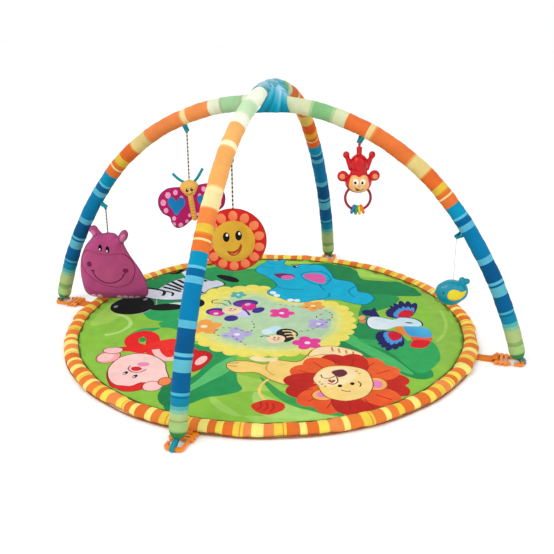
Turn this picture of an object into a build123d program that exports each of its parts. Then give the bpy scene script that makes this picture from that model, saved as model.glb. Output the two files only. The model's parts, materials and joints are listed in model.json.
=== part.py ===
"""Activity play gym: a round padded mat under two crossing padded arches with five hanging toys.

Millimetres, +Z up. The origin is the centre of the mat on the floor. The lower arch runs along X and
the upper arch along Y; they cross over the middle of the mat and turn on one rivet to fold.
"""

from build123d import *
from math import atan2, cos, degrees, radians, sin
import os

os.makedirs("parts", exist_ok=True)

# ---- driving dimensions ---------------------------------------------------------------------------
# Mat
MAT_RADIUS = 450.0
ROLL_HALF_WIDTH = 17.0
ROLL_HALF_HEIGHT = 12.0
ROLL_WALL = 1.2
FABRIC = 1.5
MAT_THICKNESS = 15.0

# Arches: a crown arc runs on into a flatter leg arc on each side. Angles are degrees of turn.
UPPER_CROWN_Z = 526.0
LOWER_CROWN_Z = 500.0
UPPER_ARCH = dict(crown=UPPER_CROWN_Z, bend=380.0, bend_angle=42.5, leg=740.0, leg_angle=37.0)
LOWER_ARCH = dict(crown=LOWER_CROWN_Z, bend=480.0, bend_angle=52.0, leg=840.0, leg_angle=23.2)
TUBE_RADIUS = 6.0
BOW_BORE = 4.8
SPIGOT_RADIUS = 4.7
LEG_BORE = 3.2
SPIGOT_LENGTH = 25.0
BOW_HALF_LENGTH = 260.0
FOAM_BORE = 6.3
FOAM_RADIUS = 14.7
SLEEVE_RADIUS = 16.0
SLEEVE_WALL = 1.1
SLEEVE_START = 48.0
CUFF_LENGTH = 30.0
CUFF_FLOOR = 8.4
CUFF_BORE = 6.8
TUBE_END = 9.2

# Hub where the arches cross
SADDLE_RADIUS = 16.0
SADDLE_OVER = 10.0
RIVET_RADIUS = 2.5
RIVET_HEAD = 6.0
PIN_CLEARANCE = 0.05
TURN_GAP = 0.3
CAP_RADIUS = 46.0
CAP_RIM_Z = 508.0
CAP_TOP_Z = 545.0
CAP_SHOULDER_Z = 522.0

# Clips, tabs and foot loops
CLIP_BASE = 1.8
CLIP_THICKNESS = 5.0
CLIP_LENGTH = 58.0
CLIP_WIDTH = 40.0
HOOK_WIDTH = 36.0
LADDER_LENGTH = 24.0
WINDOW_LENGTH = 27.0
WINDOW_WIDTH = 26.0
SLOT = (3.8, 28.0)
SLOT_CENTRES = (7.4, 16.6)
LOBE_RADIUS = 3.6
LOBE_CENTRES = (2.5, 12.0, 21.5)
GATE = 6.0
UPPER_CLIP_START = 450.0
LOWER_CLIP_START = 484.0
WEBBING = 1.4
TAB_WIDTH = 24.0
LOOP_WIDTH = 9.0

# Straps that hang the toys, as turns down each arch
STRAP_BORE = 16.5
STRAP_WALL = 1.5
STRAP_WIDTH = 14.0
HANG = 27.0
EYE_RADIUS = 2.4
LUG_RADIUS = 4.2
LUG_THICKNESS = 2.4
CORD_RADIUS = 1.5
CORD_LOOP = 3.6
CORD_LOOP_WIRE = 1.0
CORD_SEAT = 8.0
TOY_TURN = 18.0

SUN_ANGLE = 36.0
BUTTERFLY_ANGLE = 23.75
HIPPO_ANGLE = 56.25
MONKEY_ANGLE = 24.5
BIRD_ANGLE = 55.75

# Toys, measured down from the point each one hangs on
SUN_DROP = 155.0
SUN_RADIUS = 61.0
SUN_FACE_RADIUS = 45.0
SUN_RING_THICKNESS = 16.0
SUN_FACE_THICKNESS = 24.0
BUTTERFLY_DROP = 107.0
BUTTERFLY_HEAD = 19.0
WING_THICKNESS = 14.0
BUTTERFLY_THICKNESS = 22.0
HIPPO_DROP = 62.0
HIPPO_THICKNESS = 36.0
MUZZLE_THICKNESS = 10.0
MONKEY_RING_RADIUS = 25.5
MONKEY_RING_WIRE = 2.7
MONKEY_RING_DROP = 113.5
BEAD_STEP = 14.6
BIRD_DROP = 118.0
BIRD_LENGTH = 62.0
BIRD_HEIGHT = 44.0
STRING_RADIUS = 0.4


def save(name, piece):
    """Label a finished piece and write it under its own name."""
    piece.part.label = name
    export_step(piece.part, f"parts/{name}.step")


# ---- mat ------------------------------------------------------------------------------------------
ROLL_CENTRE = MAT_RADIUS - ROLL_HALF_WIDTH
PANEL_RADIUS = ROLL_CENTRE - ROLL_HALF_WIDTH - 0.5

with BuildPart() as mat_backing:
    with BuildSketch(Plane.XY):
        Circle(PANEL_RADIUS + 8)
    extrude(amount=FABRIC - 0.1)
save("mat_backing", mat_backing)

with BuildPart() as mat_batting:
    with BuildSketch(Plane.XY.offset(FABRIC)):
        Circle(PANEL_RADIUS)
    extrude(amount=MAT_THICKNESS - 2 * FABRIC)
save("mat_batting", mat_batting)

with BuildPart() as mat_top_panel:
    with BuildSketch(Plane.XY.offset(MAT_THICKNESS - FABRIC)):
        Circle(PANEL_RADIUS)
    extrude(amount=FABRIC)
save("mat_top_panel", mat_top_panel)


# The notches in the border's underside that the four webbing tabs are sewn into
with BuildPart() as tab_pockets:
    for turn, height in ((0, 3.6), (90, 8.8), (180, 3.6), (270, 8.8)):
        with BuildSketch(Plane.XY.rotated((0, 0, turn)).offset(-1)):
            with Locations((MAT_RADIUS - 10, 0)):
                Rectangle(34, TAB_WIDTH + 0.8)
        extrude(amount=height + 1)

with BuildPart() as border_roll:
    with BuildSketch(Plane.XZ):
        with Locations((ROLL_CENTRE, ROLL_HALF_HEIGHT)):
            Ellipse(ROLL_HALF_WIDTH, ROLL_HALF_HEIGHT)
            Ellipse(ROLL_HALF_WIDTH - ROLL_WALL, ROLL_HALF_HEIGHT - ROLL_WALL, mode=Mode.SUBTRACT)
    revolve(axis=Axis.Z)
    add(tab_pockets.part, mode=Mode.SUBTRACT)
save("border_roll", border_roll)

with BuildPart() as border_filling:
    with BuildSketch(Plane.XZ):
        with Locations((ROLL_CENTRE, ROLL_HALF_HEIGHT)):
            Ellipse(ROLL_HALF_WIDTH - ROLL_WALL - 0.3, ROLL_HALF_HEIGHT - ROLL_WALL - 0.3)
    revolve(axis=Axis.Z)
    add(tab_pockets.part, mode=Mode.SUBTRACT)
save("border_filling", border_filling)


# ---- the arch curve -------------------------------------------------------------------------------
def centre_point(arch, turn):
    """Distance from the hub and height of an arch's centreline, where it has turned this far."""
    side = 1 if turn >= 0 else -1
    total = abs(turn)
    bent = radians(min(total, arch["bend_angle"]))
    out = arch["bend"] * sin(bent)
    height = arch["crown"] - arch["bend"] * (1 - cos(bent))
    if total > arch["bend_angle"]:
        out += arch["leg"] * (sin(radians(total)) - sin(bent))
        height -= arch["leg"] * (cos(bent) - cos(radians(total)))
    return side * out, height


def foot_turn(arch):
    return arch["bend_angle"] + arch["leg_angle"]


def turn_back(arch, length):
    """The turn at this distance along the leg, measured back from its foot."""
    return foot_turn(arch) - degrees(length / arch["leg"])


def draw_arch(arch, start, end):
    """Tangent arcs of the centreline between two turns, for a BuildLine on the arch's plane."""
    bends = [turn for turn in (-arch["bend_angle"], arch["bend_angle"]) if start < turn < end]
    stops = [start, *bends, end]
    for first, last in zip(stops, stops[1:]):
        middle = (first + last) / 2
        ThreePointArc(
            centre_point(arch, first), centre_point(arch, middle), centre_point(arch, last)
        )


def bent_tube(plane, arch, start, end, outer, inner):
    """A round tube along part of an arch."""
    with BuildPart() as tube:
        with BuildLine(plane) as path:
            draw_arch(arch, start, end)
        with BuildSketch(Plane(origin=path.line @ 0, z_dir=path.line % 0)):
            Circle(outer)
            Circle(inner, mode=Mode.SUBTRACT)
        sweep()
    return tube


def saddle_bore(plane, arch, radius):
    """The round way that an arch's tube needs through a hub piece."""
    with BuildPart() as bore:
        with BuildLine(plane) as path:
            draw_arch(arch, -degrees(70 / arch["bend"]), degrees(70 / arch["bend"]))
        with BuildSketch(Plane(origin=path.line @ 0, z_dir=path.line % 0)):
            Circle(radius)
        sweep()
    return bore


def place(plane, out, height):
    """The point in space of a distance out and a height on an arch's plane."""
    return plane.from_local_coords(Vector(out, height, 0))


def along(plane, turn):
    """The arch's own direction, outward and down, where it has turned this far."""
    side = 1 if turn >= 0 else -1
    local = Vector(side * cos(radians(turn)), -sin(radians(abs(turn))), 0)
    return place(plane, local.X, local.Y) - place(plane, 0, 0)


def inward(turn):
    """Unit step from the centreline to the inside of the arch, on the arch's plane."""
    side = 1 if turn >= 0 else -1
    return Vector(-side * sin(radians(abs(turn))), -cos(radians(turn)), 0)


# ---- bow tubes, one over each crown ---------------------------------------------------------------
for name, plane, arch in (
    ("upper_bow_tube", Plane.YZ, UPPER_ARCH),
    ("lower_bow_tube", Plane.XZ, LOWER_ARCH),
):
    half_turn = degrees(BOW_HALF_LENGTH / arch["bend"])
    bow = bent_tube(plane, arch, -half_turn, half_turn, TUBE_RADIUS, BOW_BORE)
    pin_hole = RIVET_RADIUS + (PIN_CLEARANCE if arch is LOWER_ARCH else 0)
    with BuildPart() as drilled_bow:
        add(bow.part)
        with BuildSketch(Plane.XY.offset(arch["crown"] - 10)):
            Circle(pin_hole)
        extrude(amount=20, mode=Mode.SUBTRACT)
    save(name, drilled_bow)


# ---- the four legs --------------------------------------------------------------------------------
def leg_tube(plane, arch, side):
    """A leg tube with the turned-down spigot that plugs into the bow."""
    joint = degrees(BOW_HALF_LENGTH / arch["bend"])
    seat = joint - degrees(SPIGOT_LENGTH / arch["bend"])
    end = turn_back(arch, TUBE_END)
    spans = sorted((side * joint, side * end))
    spigot_spans = sorted((side * seat, side * joint))
    tube = bent_tube(plane, arch, *spans, TUBE_RADIUS, LEG_BORE)
    spigot = bent_tube(plane, arch, *spigot_spans, SPIGOT_RADIUS, LEG_BORE)
    with BuildPart() as leg:
        add(tube.part)
        add(spigot.part)
    return leg


def cuff(plane, arch, side):
    """The gathered end of a leg, closed below and bored for the tube."""
    turn = side * foot_turn(arch)
    foot = place(plane, *centre_point(arch, turn))
    back = place(plane, *centre_point(arch, side * turn_back(arch, CUFF_LENGTH)))
    upright = Plane(origin=foot, x_dir=plane.z_dir, z_dir=(back - foot).normalized())
    across = Plane(origin=foot, x_dir=upright.x_dir, z_dir=upright.y_dir * -1)
    with BuildPart() as end:
        with BuildSketch(across):
            with BuildLine():
                Polyline((0, 0), (9.5, 0))
                Spline((9.5, 0), (14.6, 5), (16.4, 14), (SLEEVE_RADIUS, CUFF_LENGTH))
                Polyline(
                    (SLEEVE_RADIUS, CUFF_LENGTH),
                    (CUFF_BORE, CUFF_LENGTH),
                    (CUFF_BORE, CUFF_FLOOR),
                    (0, CUFF_FLOOR),
                    (0, 0),
                )
            make_face()
        revolve(axis=Axis(foot, upright.z_dir))
    return end


def foot_loop(plane, arch, side, clip_start):
    """A webbing loop from the foot, round the outer bar of the clip."""
    turn = foot_turn(arch)
    foot = Vector(*centre_point(arch, turn))
    chord = Vector(*centre_point(arch, turn_back(arch, CUFF_LENGTH))) - foot
    level = Vector(chord.Y, -chord.X).normalized() * 4
    bar_in = clip_start + LADDER_LENGTH + WINDOW_LENGTH
    bar_out = clip_start + CLIP_LENGTH
    outline = [
        (bar_in - 1.9, 0.2),
        (bar_out + 1.7, 0.2),
        (bar_out + 1.7, 8.8),
        ((foot + level).X, (foot + level).Y),
        ((foot - level).X, (foot - level).Y),
        (bar_in - 1.9, 5.0),
    ]
    with BuildPart() as loop:
        with BuildSketch(plane):
            with BuildLine():
                Polyline([(side * out, height) for out, height in outline], close=True)
            make_face()
            offset(amount=-1.2, kind=Kind.INTERSECTION, mode=Mode.SUBTRACT)
        extrude(amount=LOOP_WIDTH / 2, both=True)
    return loop


def tab(plane, side, clip_start):
    """A webbing tab from under the border, doubled round the clip's inner bar."""
    root = MAT_RADIUS - 20
    top = CLIP_BASE + CLIP_THICKNESS + 0.2
    outer = [
        (root, 0.2),
        (clip_start + 7, 0.2),
        (clip_start + 7, top + WEBBING),
        (clip_start - 3, top + WEBBING),
        (clip_start - 12, 0.2 + 2 * WEBBING),
        (root, 0.2 + 2 * WEBBING),
    ]
    inner = [
        (clip_start - 9, 0.2 + WEBBING),
        (clip_start + 5.6, 0.2 + WEBBING),
        (clip_start + 5.6, top),
        (clip_start - 2.2, top),
    ]
    with BuildPart() as strap:
        with BuildSketch(plane):
            with BuildLine():
                Polyline([(side * out, height) for out, height in outer], close=True)
            make_face()
            with BuildLine():
                Polyline([(side * out, height) for out, height in inner], close=True)
            make_face(mode=Mode.SUBTRACT)
        extrude(amount=TAB_WIDTH / 2, both=True)
    return strap


def clip(heading, clip_start):
    """A flat plastic clip: a two-slot ladder for the tab and an open hook for the foot loop."""
    flat = Plane(
        origin=(0, 0, CLIP_BASE), x_dir=(cos(radians(heading)), sin(radians(heading)), 0), z_dir=(0, 0, 1)
    )
    hook_length = CLIP_LENGTH - LADDER_LENGTH + 6
    with BuildPart() as plate:
        with BuildSketch(flat):
            with Locations((clip_start + LADDER_LENGTH / 2, 0)):
                RectangleRounded(LADDER_LENGTH, CLIP_WIDTH, 2)
            with Locations((clip_start + CLIP_LENGTH - hook_length / 2, 0)):
                RectangleRounded(hook_length, HOOK_WIDTH, 8)
            with Locations([(clip_start + out, s * CLIP_WIDTH / 2) for out in LOBE_CENTRES for s in (-1, 1)]):
                Circle(LOBE_RADIUS)
            with Locations([(clip_start + out, 0) for out in SLOT_CENTRES]):
                Rectangle(*SLOT, mode=Mode.SUBTRACT)
            with Locations((clip_start + LADDER_LENGTH + WINDOW_LENGTH / 2, 0)):
                RectangleRounded(WINDOW_LENGTH, WINDOW_WIDTH, 4, mode=Mode.SUBTRACT)
            with Locations((clip_start + LADDER_LENGTH + 11, -HOOK_WIDTH / 2)):
                Rectangle(GATE, 14, mode=Mode.SUBTRACT)
        extrude(amount=CLIP_THICKNESS)
    return plate


LEGS = (
    ("front", Plane.YZ, UPPER_ARCH, -1, UPPER_CLIP_START, -90),
    ("back", Plane.YZ, UPPER_ARCH, 1, UPPER_CLIP_START, 90),
    ("left", Plane.XZ, LOWER_ARCH, -1, LOWER_CLIP_START, 180),
    ("right", Plane.XZ, LOWER_ARCH, 1, LOWER_CLIP_START, 0),
)

for name, plane, arch, side, clip_start, heading in LEGS:
    start = degrees(SLEEVE_START / arch["bend"])
    padded = sorted((side * start, side * turn_back(arch, CUFF_LENGTH + 0.9)))
    save(f"{name}_leg_tube", leg_tube(plane, arch, side))
    save(f"{name}_foam", bent_tube(plane, arch, *padded, FOAM_RADIUS, FOAM_BORE))
    save(f"{name}_sleeve", bent_tube(plane, arch, *padded, SLEEVE_RADIUS, SLEEVE_RADIUS - SLEEVE_WALL))
    save(f"{name}_cuff", cuff(plane, arch, side))
    save(f"{name}_foot_loop", foot_loop(plane, arch, side, clip_start))
    save(f"{name}_clip", clip(heading, clip_start))
    save(f"{name}_tab", tab(plane, side, clip_start))


# ---- hub ------------------------------------------------------------------------------------------
TURN_PLANE_Z = (UPPER_CROWN_Z + LOWER_CROWN_Z) / 2
LOWER_SADDLE_BASE = LOWER_CROWN_Z - SADDLE_OVER
UPPER_SADDLE_TOP = UPPER_CROWN_Z + SADDLE_OVER

with BuildPart() as hub_lower_saddle:
    with BuildSketch(Plane.XY.offset(LOWER_SADDLE_BASE)):
        Circle(SADDLE_RADIUS)
        Circle(RIVET_RADIUS + PIN_CLEARANCE, mode=Mode.SUBTRACT)
    extrude(amount=TURN_PLANE_Z - TURN_GAP / 2 - LOWER_SADDLE_BASE)
    add(saddle_bore(Plane.XZ, LOWER_ARCH, TUBE_RADIUS).part, mode=Mode.SUBTRACT)
save("hub_lower_saddle", hub_lower_saddle)

with BuildPart() as hub_upper_saddle:
    with BuildSketch(Plane.XY.offset(TURN_PLANE_Z + TURN_GAP / 2)):
        Circle(SADDLE_RADIUS)
        Circle(RIVET_RADIUS, mode=Mode.SUBTRACT)
    extrude(amount=UPPER_SADDLE_TOP - TURN_PLANE_Z - TURN_GAP / 2)
    add(saddle_bore(Plane.YZ, UPPER_ARCH, TUBE_RADIUS).part, mode=Mode.SUBTRACT)
save("hub_upper_saddle", hub_upper_saddle)

with BuildPart() as hub_rivet:
    with BuildSketch(Plane.XY.offset(LOWER_SADDLE_BASE - TURN_GAP - 2.5)):
        Circle(RIVET_HEAD)
    extrude(amount=2.5)
    with BuildSketch(Plane.XY.offset(LOWER_SADDLE_BASE - TURN_GAP)):
        Circle(RIVET_RADIUS)
    extrude(amount=UPPER_SADDLE_TOP - LOWER_SADDLE_BASE + TURN_GAP)
    with BuildSketch(Plane.XY.offset(UPPER_SADDLE_TOP)):
        Circle(RIVET_HEAD)
    extrude(amount=2.5)
save("hub_rivet", hub_rivet)

with BuildPart() as hub_cap:
    with BuildSketch(Plane.XZ):
        with BuildLine():
            Line((0, CAP_TOP_Z), (0, CAP_TOP_Z - FABRIC))
            ThreePointArc(
                (0, CAP_TOP_Z - FABRIC), (28, CAP_TOP_Z - 8.8), (CAP_RADIUS - FABRIC, CAP_SHOULDER_Z)
            )
            Polyline(
                (CAP_RADIUS - FABRIC, CAP_SHOULDER_Z),
                (CAP_RADIUS - FABRIC, CAP_RIM_Z),
                (CAP_RADIUS, CAP_RIM_Z),
                (CAP_RADIUS, CAP_SHOULDER_Z),
            )
            ThreePointArc((CAP_RADIUS, CAP_SHOULDER_Z), (29, CAP_TOP_Z - 7.6), (0, CAP_TOP_Z))
        make_face()
    revolve(axis=Axis.Z)
    add(saddle_bore(Plane.YZ, UPPER_ARCH, TUBE_RADIUS).part, mode=Mode.SUBTRACT)
save("hub_cap", hub_cap)


# ---- straps and cords -----------------------------------------------------------------------------
def strap(plane, arch, turn):
    """A webbing band round a sleeve, with a lug and eye on its inner side."""
    centre = Vector(*centre_point(arch, turn))
    step = inward(turn)
    middle = place(plane, centre.X, centre.Y)
    eye = centre + step * HANG
    lug_length = HANG - STRAP_BORE + 3
    lug_middle = centre + step * (HANG - lug_length / 2)
    across = Plane(origin=middle, z_dir=along(plane, turn))
    with BuildPart() as band:
        with BuildSketch(across):
            Circle(STRAP_BORE + STRAP_WALL)
        extrude(amount=STRAP_WIDTH / 2, both=True)
        with BuildSketch(plane):
            with Locations((eye.X, eye.Y)):
                Circle(LUG_RADIUS)
            with Locations(Location((lug_middle.X, lug_middle.Y), degrees(atan2(step.Y, step.X)))):
                Rectangle(lug_length, 2 * LUG_RADIUS)
        extrude(amount=LUG_THICKNESS / 2, both=True)
        with BuildSketch(plane):
            with Locations((eye.X, eye.Y)):
                Circle(EYE_RADIUS)
        extrude(amount=LUG_THICKNESS, both=True, mode=Mode.SUBTRACT)
        with BuildSketch(across):
            Circle(STRAP_BORE)
        extrude(amount=STRAP_WIDTH, both=True, mode=Mode.SUBTRACT)
    return band


def hang_point(plane, arch, turn):
    """The point in space that a toy hangs on, at the middle of its strap's eye."""
    eye = Vector(*centre_point(arch, turn)) + inward(turn) * HANG
    return place(plane, eye.X, eye.Y)


def cord(plane, hang, reach, radius):
    """A straight cord whose top is a small ring through the strap's eye."""
    ring = Plane(
        origin=hang - Vector(0, 0, CORD_LOOP), x_dir=(0, 0, 1), z_dir=plane.z_dir.cross(Vector(0, 0, 1))
    )
    with BuildPart(ring) as line:
        Torus(CORD_LOOP, CORD_LOOP_WIRE)
        with BuildSketch(Plane(origin=hang - Vector(0, 0, 2 * CORD_LOOP), z_dir=(0, 0, -1))):
            Circle(radius)
        extrude(amount=reach - 2 * CORD_LOOP)
    return line


def cord_seat(hang, reach, radius):
    """The round way down into a toy that the cord's end is sewn into."""
    with BuildPart() as way:
        with BuildSketch(Plane(origin=hang - Vector(0, 0, reach), z_dir=(0, 0, 1))):
            Circle(radius)
        extrude(amount=reach - 2 * CORD_LOOP)
    return way.part


def facing(hang):
    """The upright plane that a toy's shape is drawn on, with the hanging point as its origin."""
    turn = radians(TOY_TURN)
    return Plane(origin=hang, x_dir=(cos(turn), sin(turn), 0), z_dir=(sin(turn), -cos(turn), 0))


def egg(plane, x, y, half_length, half_width):
    """A solid egg, round in section, that is long along the plane's first direction."""
    middle = plane.from_local_coords(Vector(x, y, 0))
    with BuildPart() as ball:
        Sphere(1)
        scale(by=(half_length, half_width, half_width))
    with BuildPart() as placed:
        with Locations(Plane(origin=middle, x_dir=plane.x_dir, z_dir=plane.z_dir)):
            add(ball.part)
    return placed.part


# ---- sun ------------------------------------------------------------------------------------------
sun_hang = hang_point(Plane.YZ, UPPER_ARCH, -SUN_ANGLE)
sun_plane = facing(sun_hang)
sun_reach = SUN_DROP - SUN_RADIUS + CORD_SEAT
sun_seat = cord_seat(sun_hang, sun_reach, CORD_RADIUS)
save("sun_strap", strap(Plane.YZ, UPPER_ARCH, -SUN_ANGLE))
save("sun_cord", cord(Plane.YZ, sun_hang, sun_reach, CORD_RADIUS))

with BuildPart() as sun_ring:
    with BuildSketch(sun_plane):
        with Locations((0, -SUN_DROP)):
            Circle(SUN_RADIUS)
    extrude(amount=SUN_RING_THICKNESS / 2, both=True)
    fillet(sun_ring.edges().filter_by(GeomType.CIRCLE), 6)
    with BuildSketch(sun_plane):
        with Locations((0, -SUN_DROP)):
            Circle(SUN_FACE_RADIUS)
    extrude(amount=SUN_RING_THICKNESS, both=True, mode=Mode.SUBTRACT)
    add(sun_seat, mode=Mode.SUBTRACT)
save("sun_ring", sun_ring)

with BuildPart() as sun_face:
    with BuildSketch(sun_plane):
        with Locations((0, -SUN_DROP)):
            Circle(SUN_FACE_RADIUS - 0.1)
    extrude(amount=SUN_FACE_THICKNESS / 2, both=True)
    fillet(sun_face.edges().filter_by(GeomType.CIRCLE), 8)
save("sun_face", sun_face)


# ---- butterfly ------------------------------------------------------------------------------------
butterfly_hang = hang_point(Plane.XZ, LOWER_ARCH, -BUTTERFLY_ANGLE)
butterfly_plane = facing(butterfly_hang)
butterfly_reach = BUTTERFLY_DROP + CORD_SEAT
butterfly_seat = cord_seat(butterfly_hang, butterfly_reach, CORD_RADIUS)
head_y = -BUTTERFLY_DROP - BUTTERFLY_HEAD
save("butterfly_strap", strap(Plane.XZ, LOWER_ARCH, -BUTTERFLY_ANGLE))
save("butterfly_cord", cord(Plane.XZ, butterfly_hang, butterfly_reach, CORD_RADIUS))

with BuildPart() as butterfly_body:
    with BuildSketch(butterfly_plane):
        with Locations((0, head_y)):
            Circle(BUTTERFLY_HEAD)
        with Locations((0, head_y - 38)):
            SlotOverall(68, 15, rotation=90)
    extrude(amount=BUTTERFLY_THICKNESS / 2, both=True)
    chamfer(butterfly_body.faces().filter_by(Axis(butterfly_hang, butterfly_plane.z_dir)).edges(), 2.5)
    add(butterfly_seat, mode=Mode.SUBTRACT)
save("butterfly_body", butterfly_body)

with BuildPart() as butterfly_wings:
    with BuildSketch(butterfly_plane):
        for side in (-1, 1):
            with Locations((side * 43, head_y - 16)):
                Circle(28)
            with Locations((side * 34, head_y - 60)):
                Circle(22)
            with BuildLine():
                Polyline(
                    (0, head_y - 6),
                    (side * 26, head_y + 4),
                    (side * 50, head_y - 40),
                    (side * 30, head_y - 74),
                    (0, head_y - 62),
                    close=True,
                )
            make_face()
    extrude(amount=WING_THICKNESS / 2, both=True)
    with BuildSketch(butterfly_plane):
        with Locations((0, head_y)):
            Circle(BUTTERFLY_HEAD + 0.1)
        with Locations((0, head_y - 38)):
            SlotOverall(68.2, 15.2, rotation=90)
    extrude(amount=WING_THICKNESS, both=True, mode=Mode.SUBTRACT)
save("butterfly_wings", butterfly_wings)


# ---- hippo ----------------------------------------------------------------------------------------
hippo_hang = hang_point(Plane.XZ, LOWER_ARCH, -HIPPO_ANGLE)
hippo_plane = facing(hippo_hang)
hippo_reach = HIPPO_DROP + CORD_SEAT
hippo_seat = cord_seat(hippo_hang, hippo_reach, CORD_RADIUS)
save("hippo_strap", strap(Plane.XZ, LOWER_ARCH, -HIPPO_ANGLE))
save("hippo_cord", cord(Plane.XZ, hippo_hang, hippo_reach, CORD_RADIUS))

with BuildPart() as hippo_body:
    with BuildSketch(hippo_plane):
        with Locations((0, -HIPPO_DROP - 36)):
            Circle(36)
        with Locations((7, -HIPPO_DROP - 94)):
            Ellipse(66, 58)
        with Locations(Location((-22, -HIPPO_DROP - 4), 12), Location((27, -HIPPO_DROP - 4), -35)):
            Ellipse(8, 13)
    extrude(amount=HIPPO_THICKNESS / 2, both=True)
    add(hippo_seat, mode=Mode.SUBTRACT)
save("hippo_body", hippo_body)

with BuildPart() as hippo_muzzle:
    with BuildSketch(hippo_plane.offset(HIPPO_THICKNESS / 2)):
        with Locations((0, -HIPPO_DROP - 82)):
            Ellipse(56, 37)
    extrude(amount=MUZZLE_THICKNESS)
    chamfer(hippo_muzzle.faces().sort_by(Axis(hippo_hang, hippo_plane.z_dir))[-1].edges(), 4)
save("hippo_muzzle", hippo_muzzle)


# ---- monkey rattle --------------------------------------------------------------------------------
monkey_hang = hang_point(Plane.XZ, LOWER_ARCH, MONKEY_ANGLE)
monkey_plane = facing(monkey_hang)
monkey_head = egg(monkey_plane, 0, -81, 27, 22)
monkey_face_skin = egg(monkey_plane, 0, -81, 28.4, 23.4)
save("monkey_strap", strap(Plane.XZ, LOWER_ARCH, MONKEY_ANGLE))

monkey_knobs = [monkey_plane.from_local_coords(Vector(side * 25.5, -25, 0)) for side in (-1, 1)]

with BuildPart() as monkey_shell:
    with BuildSketch(monkey_plane):
        with BuildLine():
            ThreePointArc((0, -23), (11.5, -29), (17.5, -44))
            Polyline((17.5, -44), (17.5, -72), (0, -72), (0, -23))
        make_face()
    revolve(axis=Axis(monkey_hang, (0, 0, 1)))
    with BuildSketch(Plane(origin=monkey_hang - Vector(0, 0, 9), z_dir=(0, 0, -1))):
        Circle(4.5)
    extrude(amount=20)
    with Locations(*monkey_knobs):
        Sphere(7)
    for side, knob in zip((-1, 1), monkey_knobs):
        shoulder = monkey_plane.from_local_coords(Vector(side * 13, -54, 0))
        with BuildSketch(Plane(origin=shoulder, z_dir=knob - shoulder)):
            Circle(4.5)
        extrude(amount=(knob - shoulder).length)
    with BuildSketch(monkey_plane):
        with Locations((-31, -68), (31, -68)):
            Circle(10.5)
    extrude(amount=4, both=True)
    with BuildSketch(Plane(origin=monkey_hang - Vector(0, 0, 4.4), z_dir=(-1, 0, 0))):
        Circle(5.8)
        Circle(3, mode=Mode.SUBTRACT)
    extrude(amount=1.4, both=True)
    add(monkey_head)
save("monkey_shell", monkey_shell)

with BuildPart() as monkey_face:
    with BuildSketch(monkey_plane):
        with Locations((-8, -76), (8, -76)):
            Circle(9.5)
        with Locations((0, -89)):
            Ellipse(18, 11)
    extrude(amount=40)
    add(monkey_face_skin, mode=Mode.INTERSECT)
    add(monkey_head, mode=Mode.SUBTRACT)
save("monkey_face", monkey_face)

ring_middle = monkey_plane.from_local_coords(Vector(0, -MONKEY_RING_DROP, 0))
with BuildPart() as monkey_ring:
    with Locations(Plane(origin=ring_middle, z_dir=monkey_plane.z_dir)):
        Torus(MONKEY_RING_RADIUS, MONKEY_RING_WIRE)
    add(monkey_head, mode=Mode.SUBTRACT)
save("monkey_ring", monkey_ring)

with BuildPart() as monkey_beads:
    for step in (-1.5, -0.5, 0.5, 1.5):
        swing = radians(step * BEAD_STEP)
        out = Vector(sin(swing), -cos(swing), 0)
        bead = Vector(0, -MONKEY_RING_DROP, 0) + out * MONKEY_RING_RADIUS
        rim = bead + out * 6.8
        with BuildSketch(monkey_plane):
            with Locations(Location((rim.X, rim.Y), degrees(swing))):
                Ellipse(2.2, 3.4)
        spin = monkey_plane.from_local_coords(bead + Vector(-out.Y, out.X, 0))
        start = monkey_plane.from_local_coords(bead)
        revolve(axis=Axis(start, spin - start))
save("monkey_beads", monkey_beads)


# ---- bird rattle ----------------------------------------------------------------------------------
bird_hang = hang_point(Plane.XZ, LOWER_ARCH, BIRD_ANGLE)
bird_plane = facing(bird_hang)
bird_reach = BIRD_DROP - BIRD_HEIGHT / 2
bird_egg = egg(bird_plane, 0, -BIRD_DROP, BIRD_LENGTH / 2, BIRD_HEIGHT / 2)
bird_wing_skin = egg(bird_plane, 0, -BIRD_DROP, BIRD_LENGTH / 2 + 1.4, BIRD_HEIGHT / 2 + 1.4)
save("bird_strap", strap(Plane.XZ, LOWER_ARCH, BIRD_ANGLE))
save("bird_string", cord(Plane.XZ, bird_hang, bird_reach, STRING_RADIUS))

with BuildPart() as bird_body:
    add(bird_egg)
    with BuildSketch(bird_plane):
        with Locations((16, 24 - BIRD_DROP), (28, 21 - BIRD_DROP)):
            Circle(6)
        with Locations(Location((19, 15 - BIRD_DROP), -15)):
            Rectangle(12, 20)
    extrude(amount=6, both=True)
save("bird_body", bird_body)

with BuildPart() as bird_wings:
    with BuildSketch(bird_plane):
        with Locations((-2, -BIRD_DROP - 2)):
            Circle(11)
        with BuildLine():
            Polyline((0, 9 - BIRD_DROP), (24, -BIRD_DROP), (0, -13 - BIRD_DROP), close=True)
        make_face()
    extrude(amount=40, both=True)
    add(bird_wing_skin, mode=Mode.INTERSECT)
    add(bird_egg, mode=Mode.SUBTRACT)
save("bird_wings", bird_wings)
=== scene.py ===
"""Activity play gym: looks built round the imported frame. Lengths inside are millimetres until make()."""

import json
from math import cos, pi, radians, sin

import bmesh
import bpy
import numpy as np
from mathutils import Matrix, Vector
from mathutils.bvhtree import BVHTree
from mathutils.geometry import delaunay_2d_cdt


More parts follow.
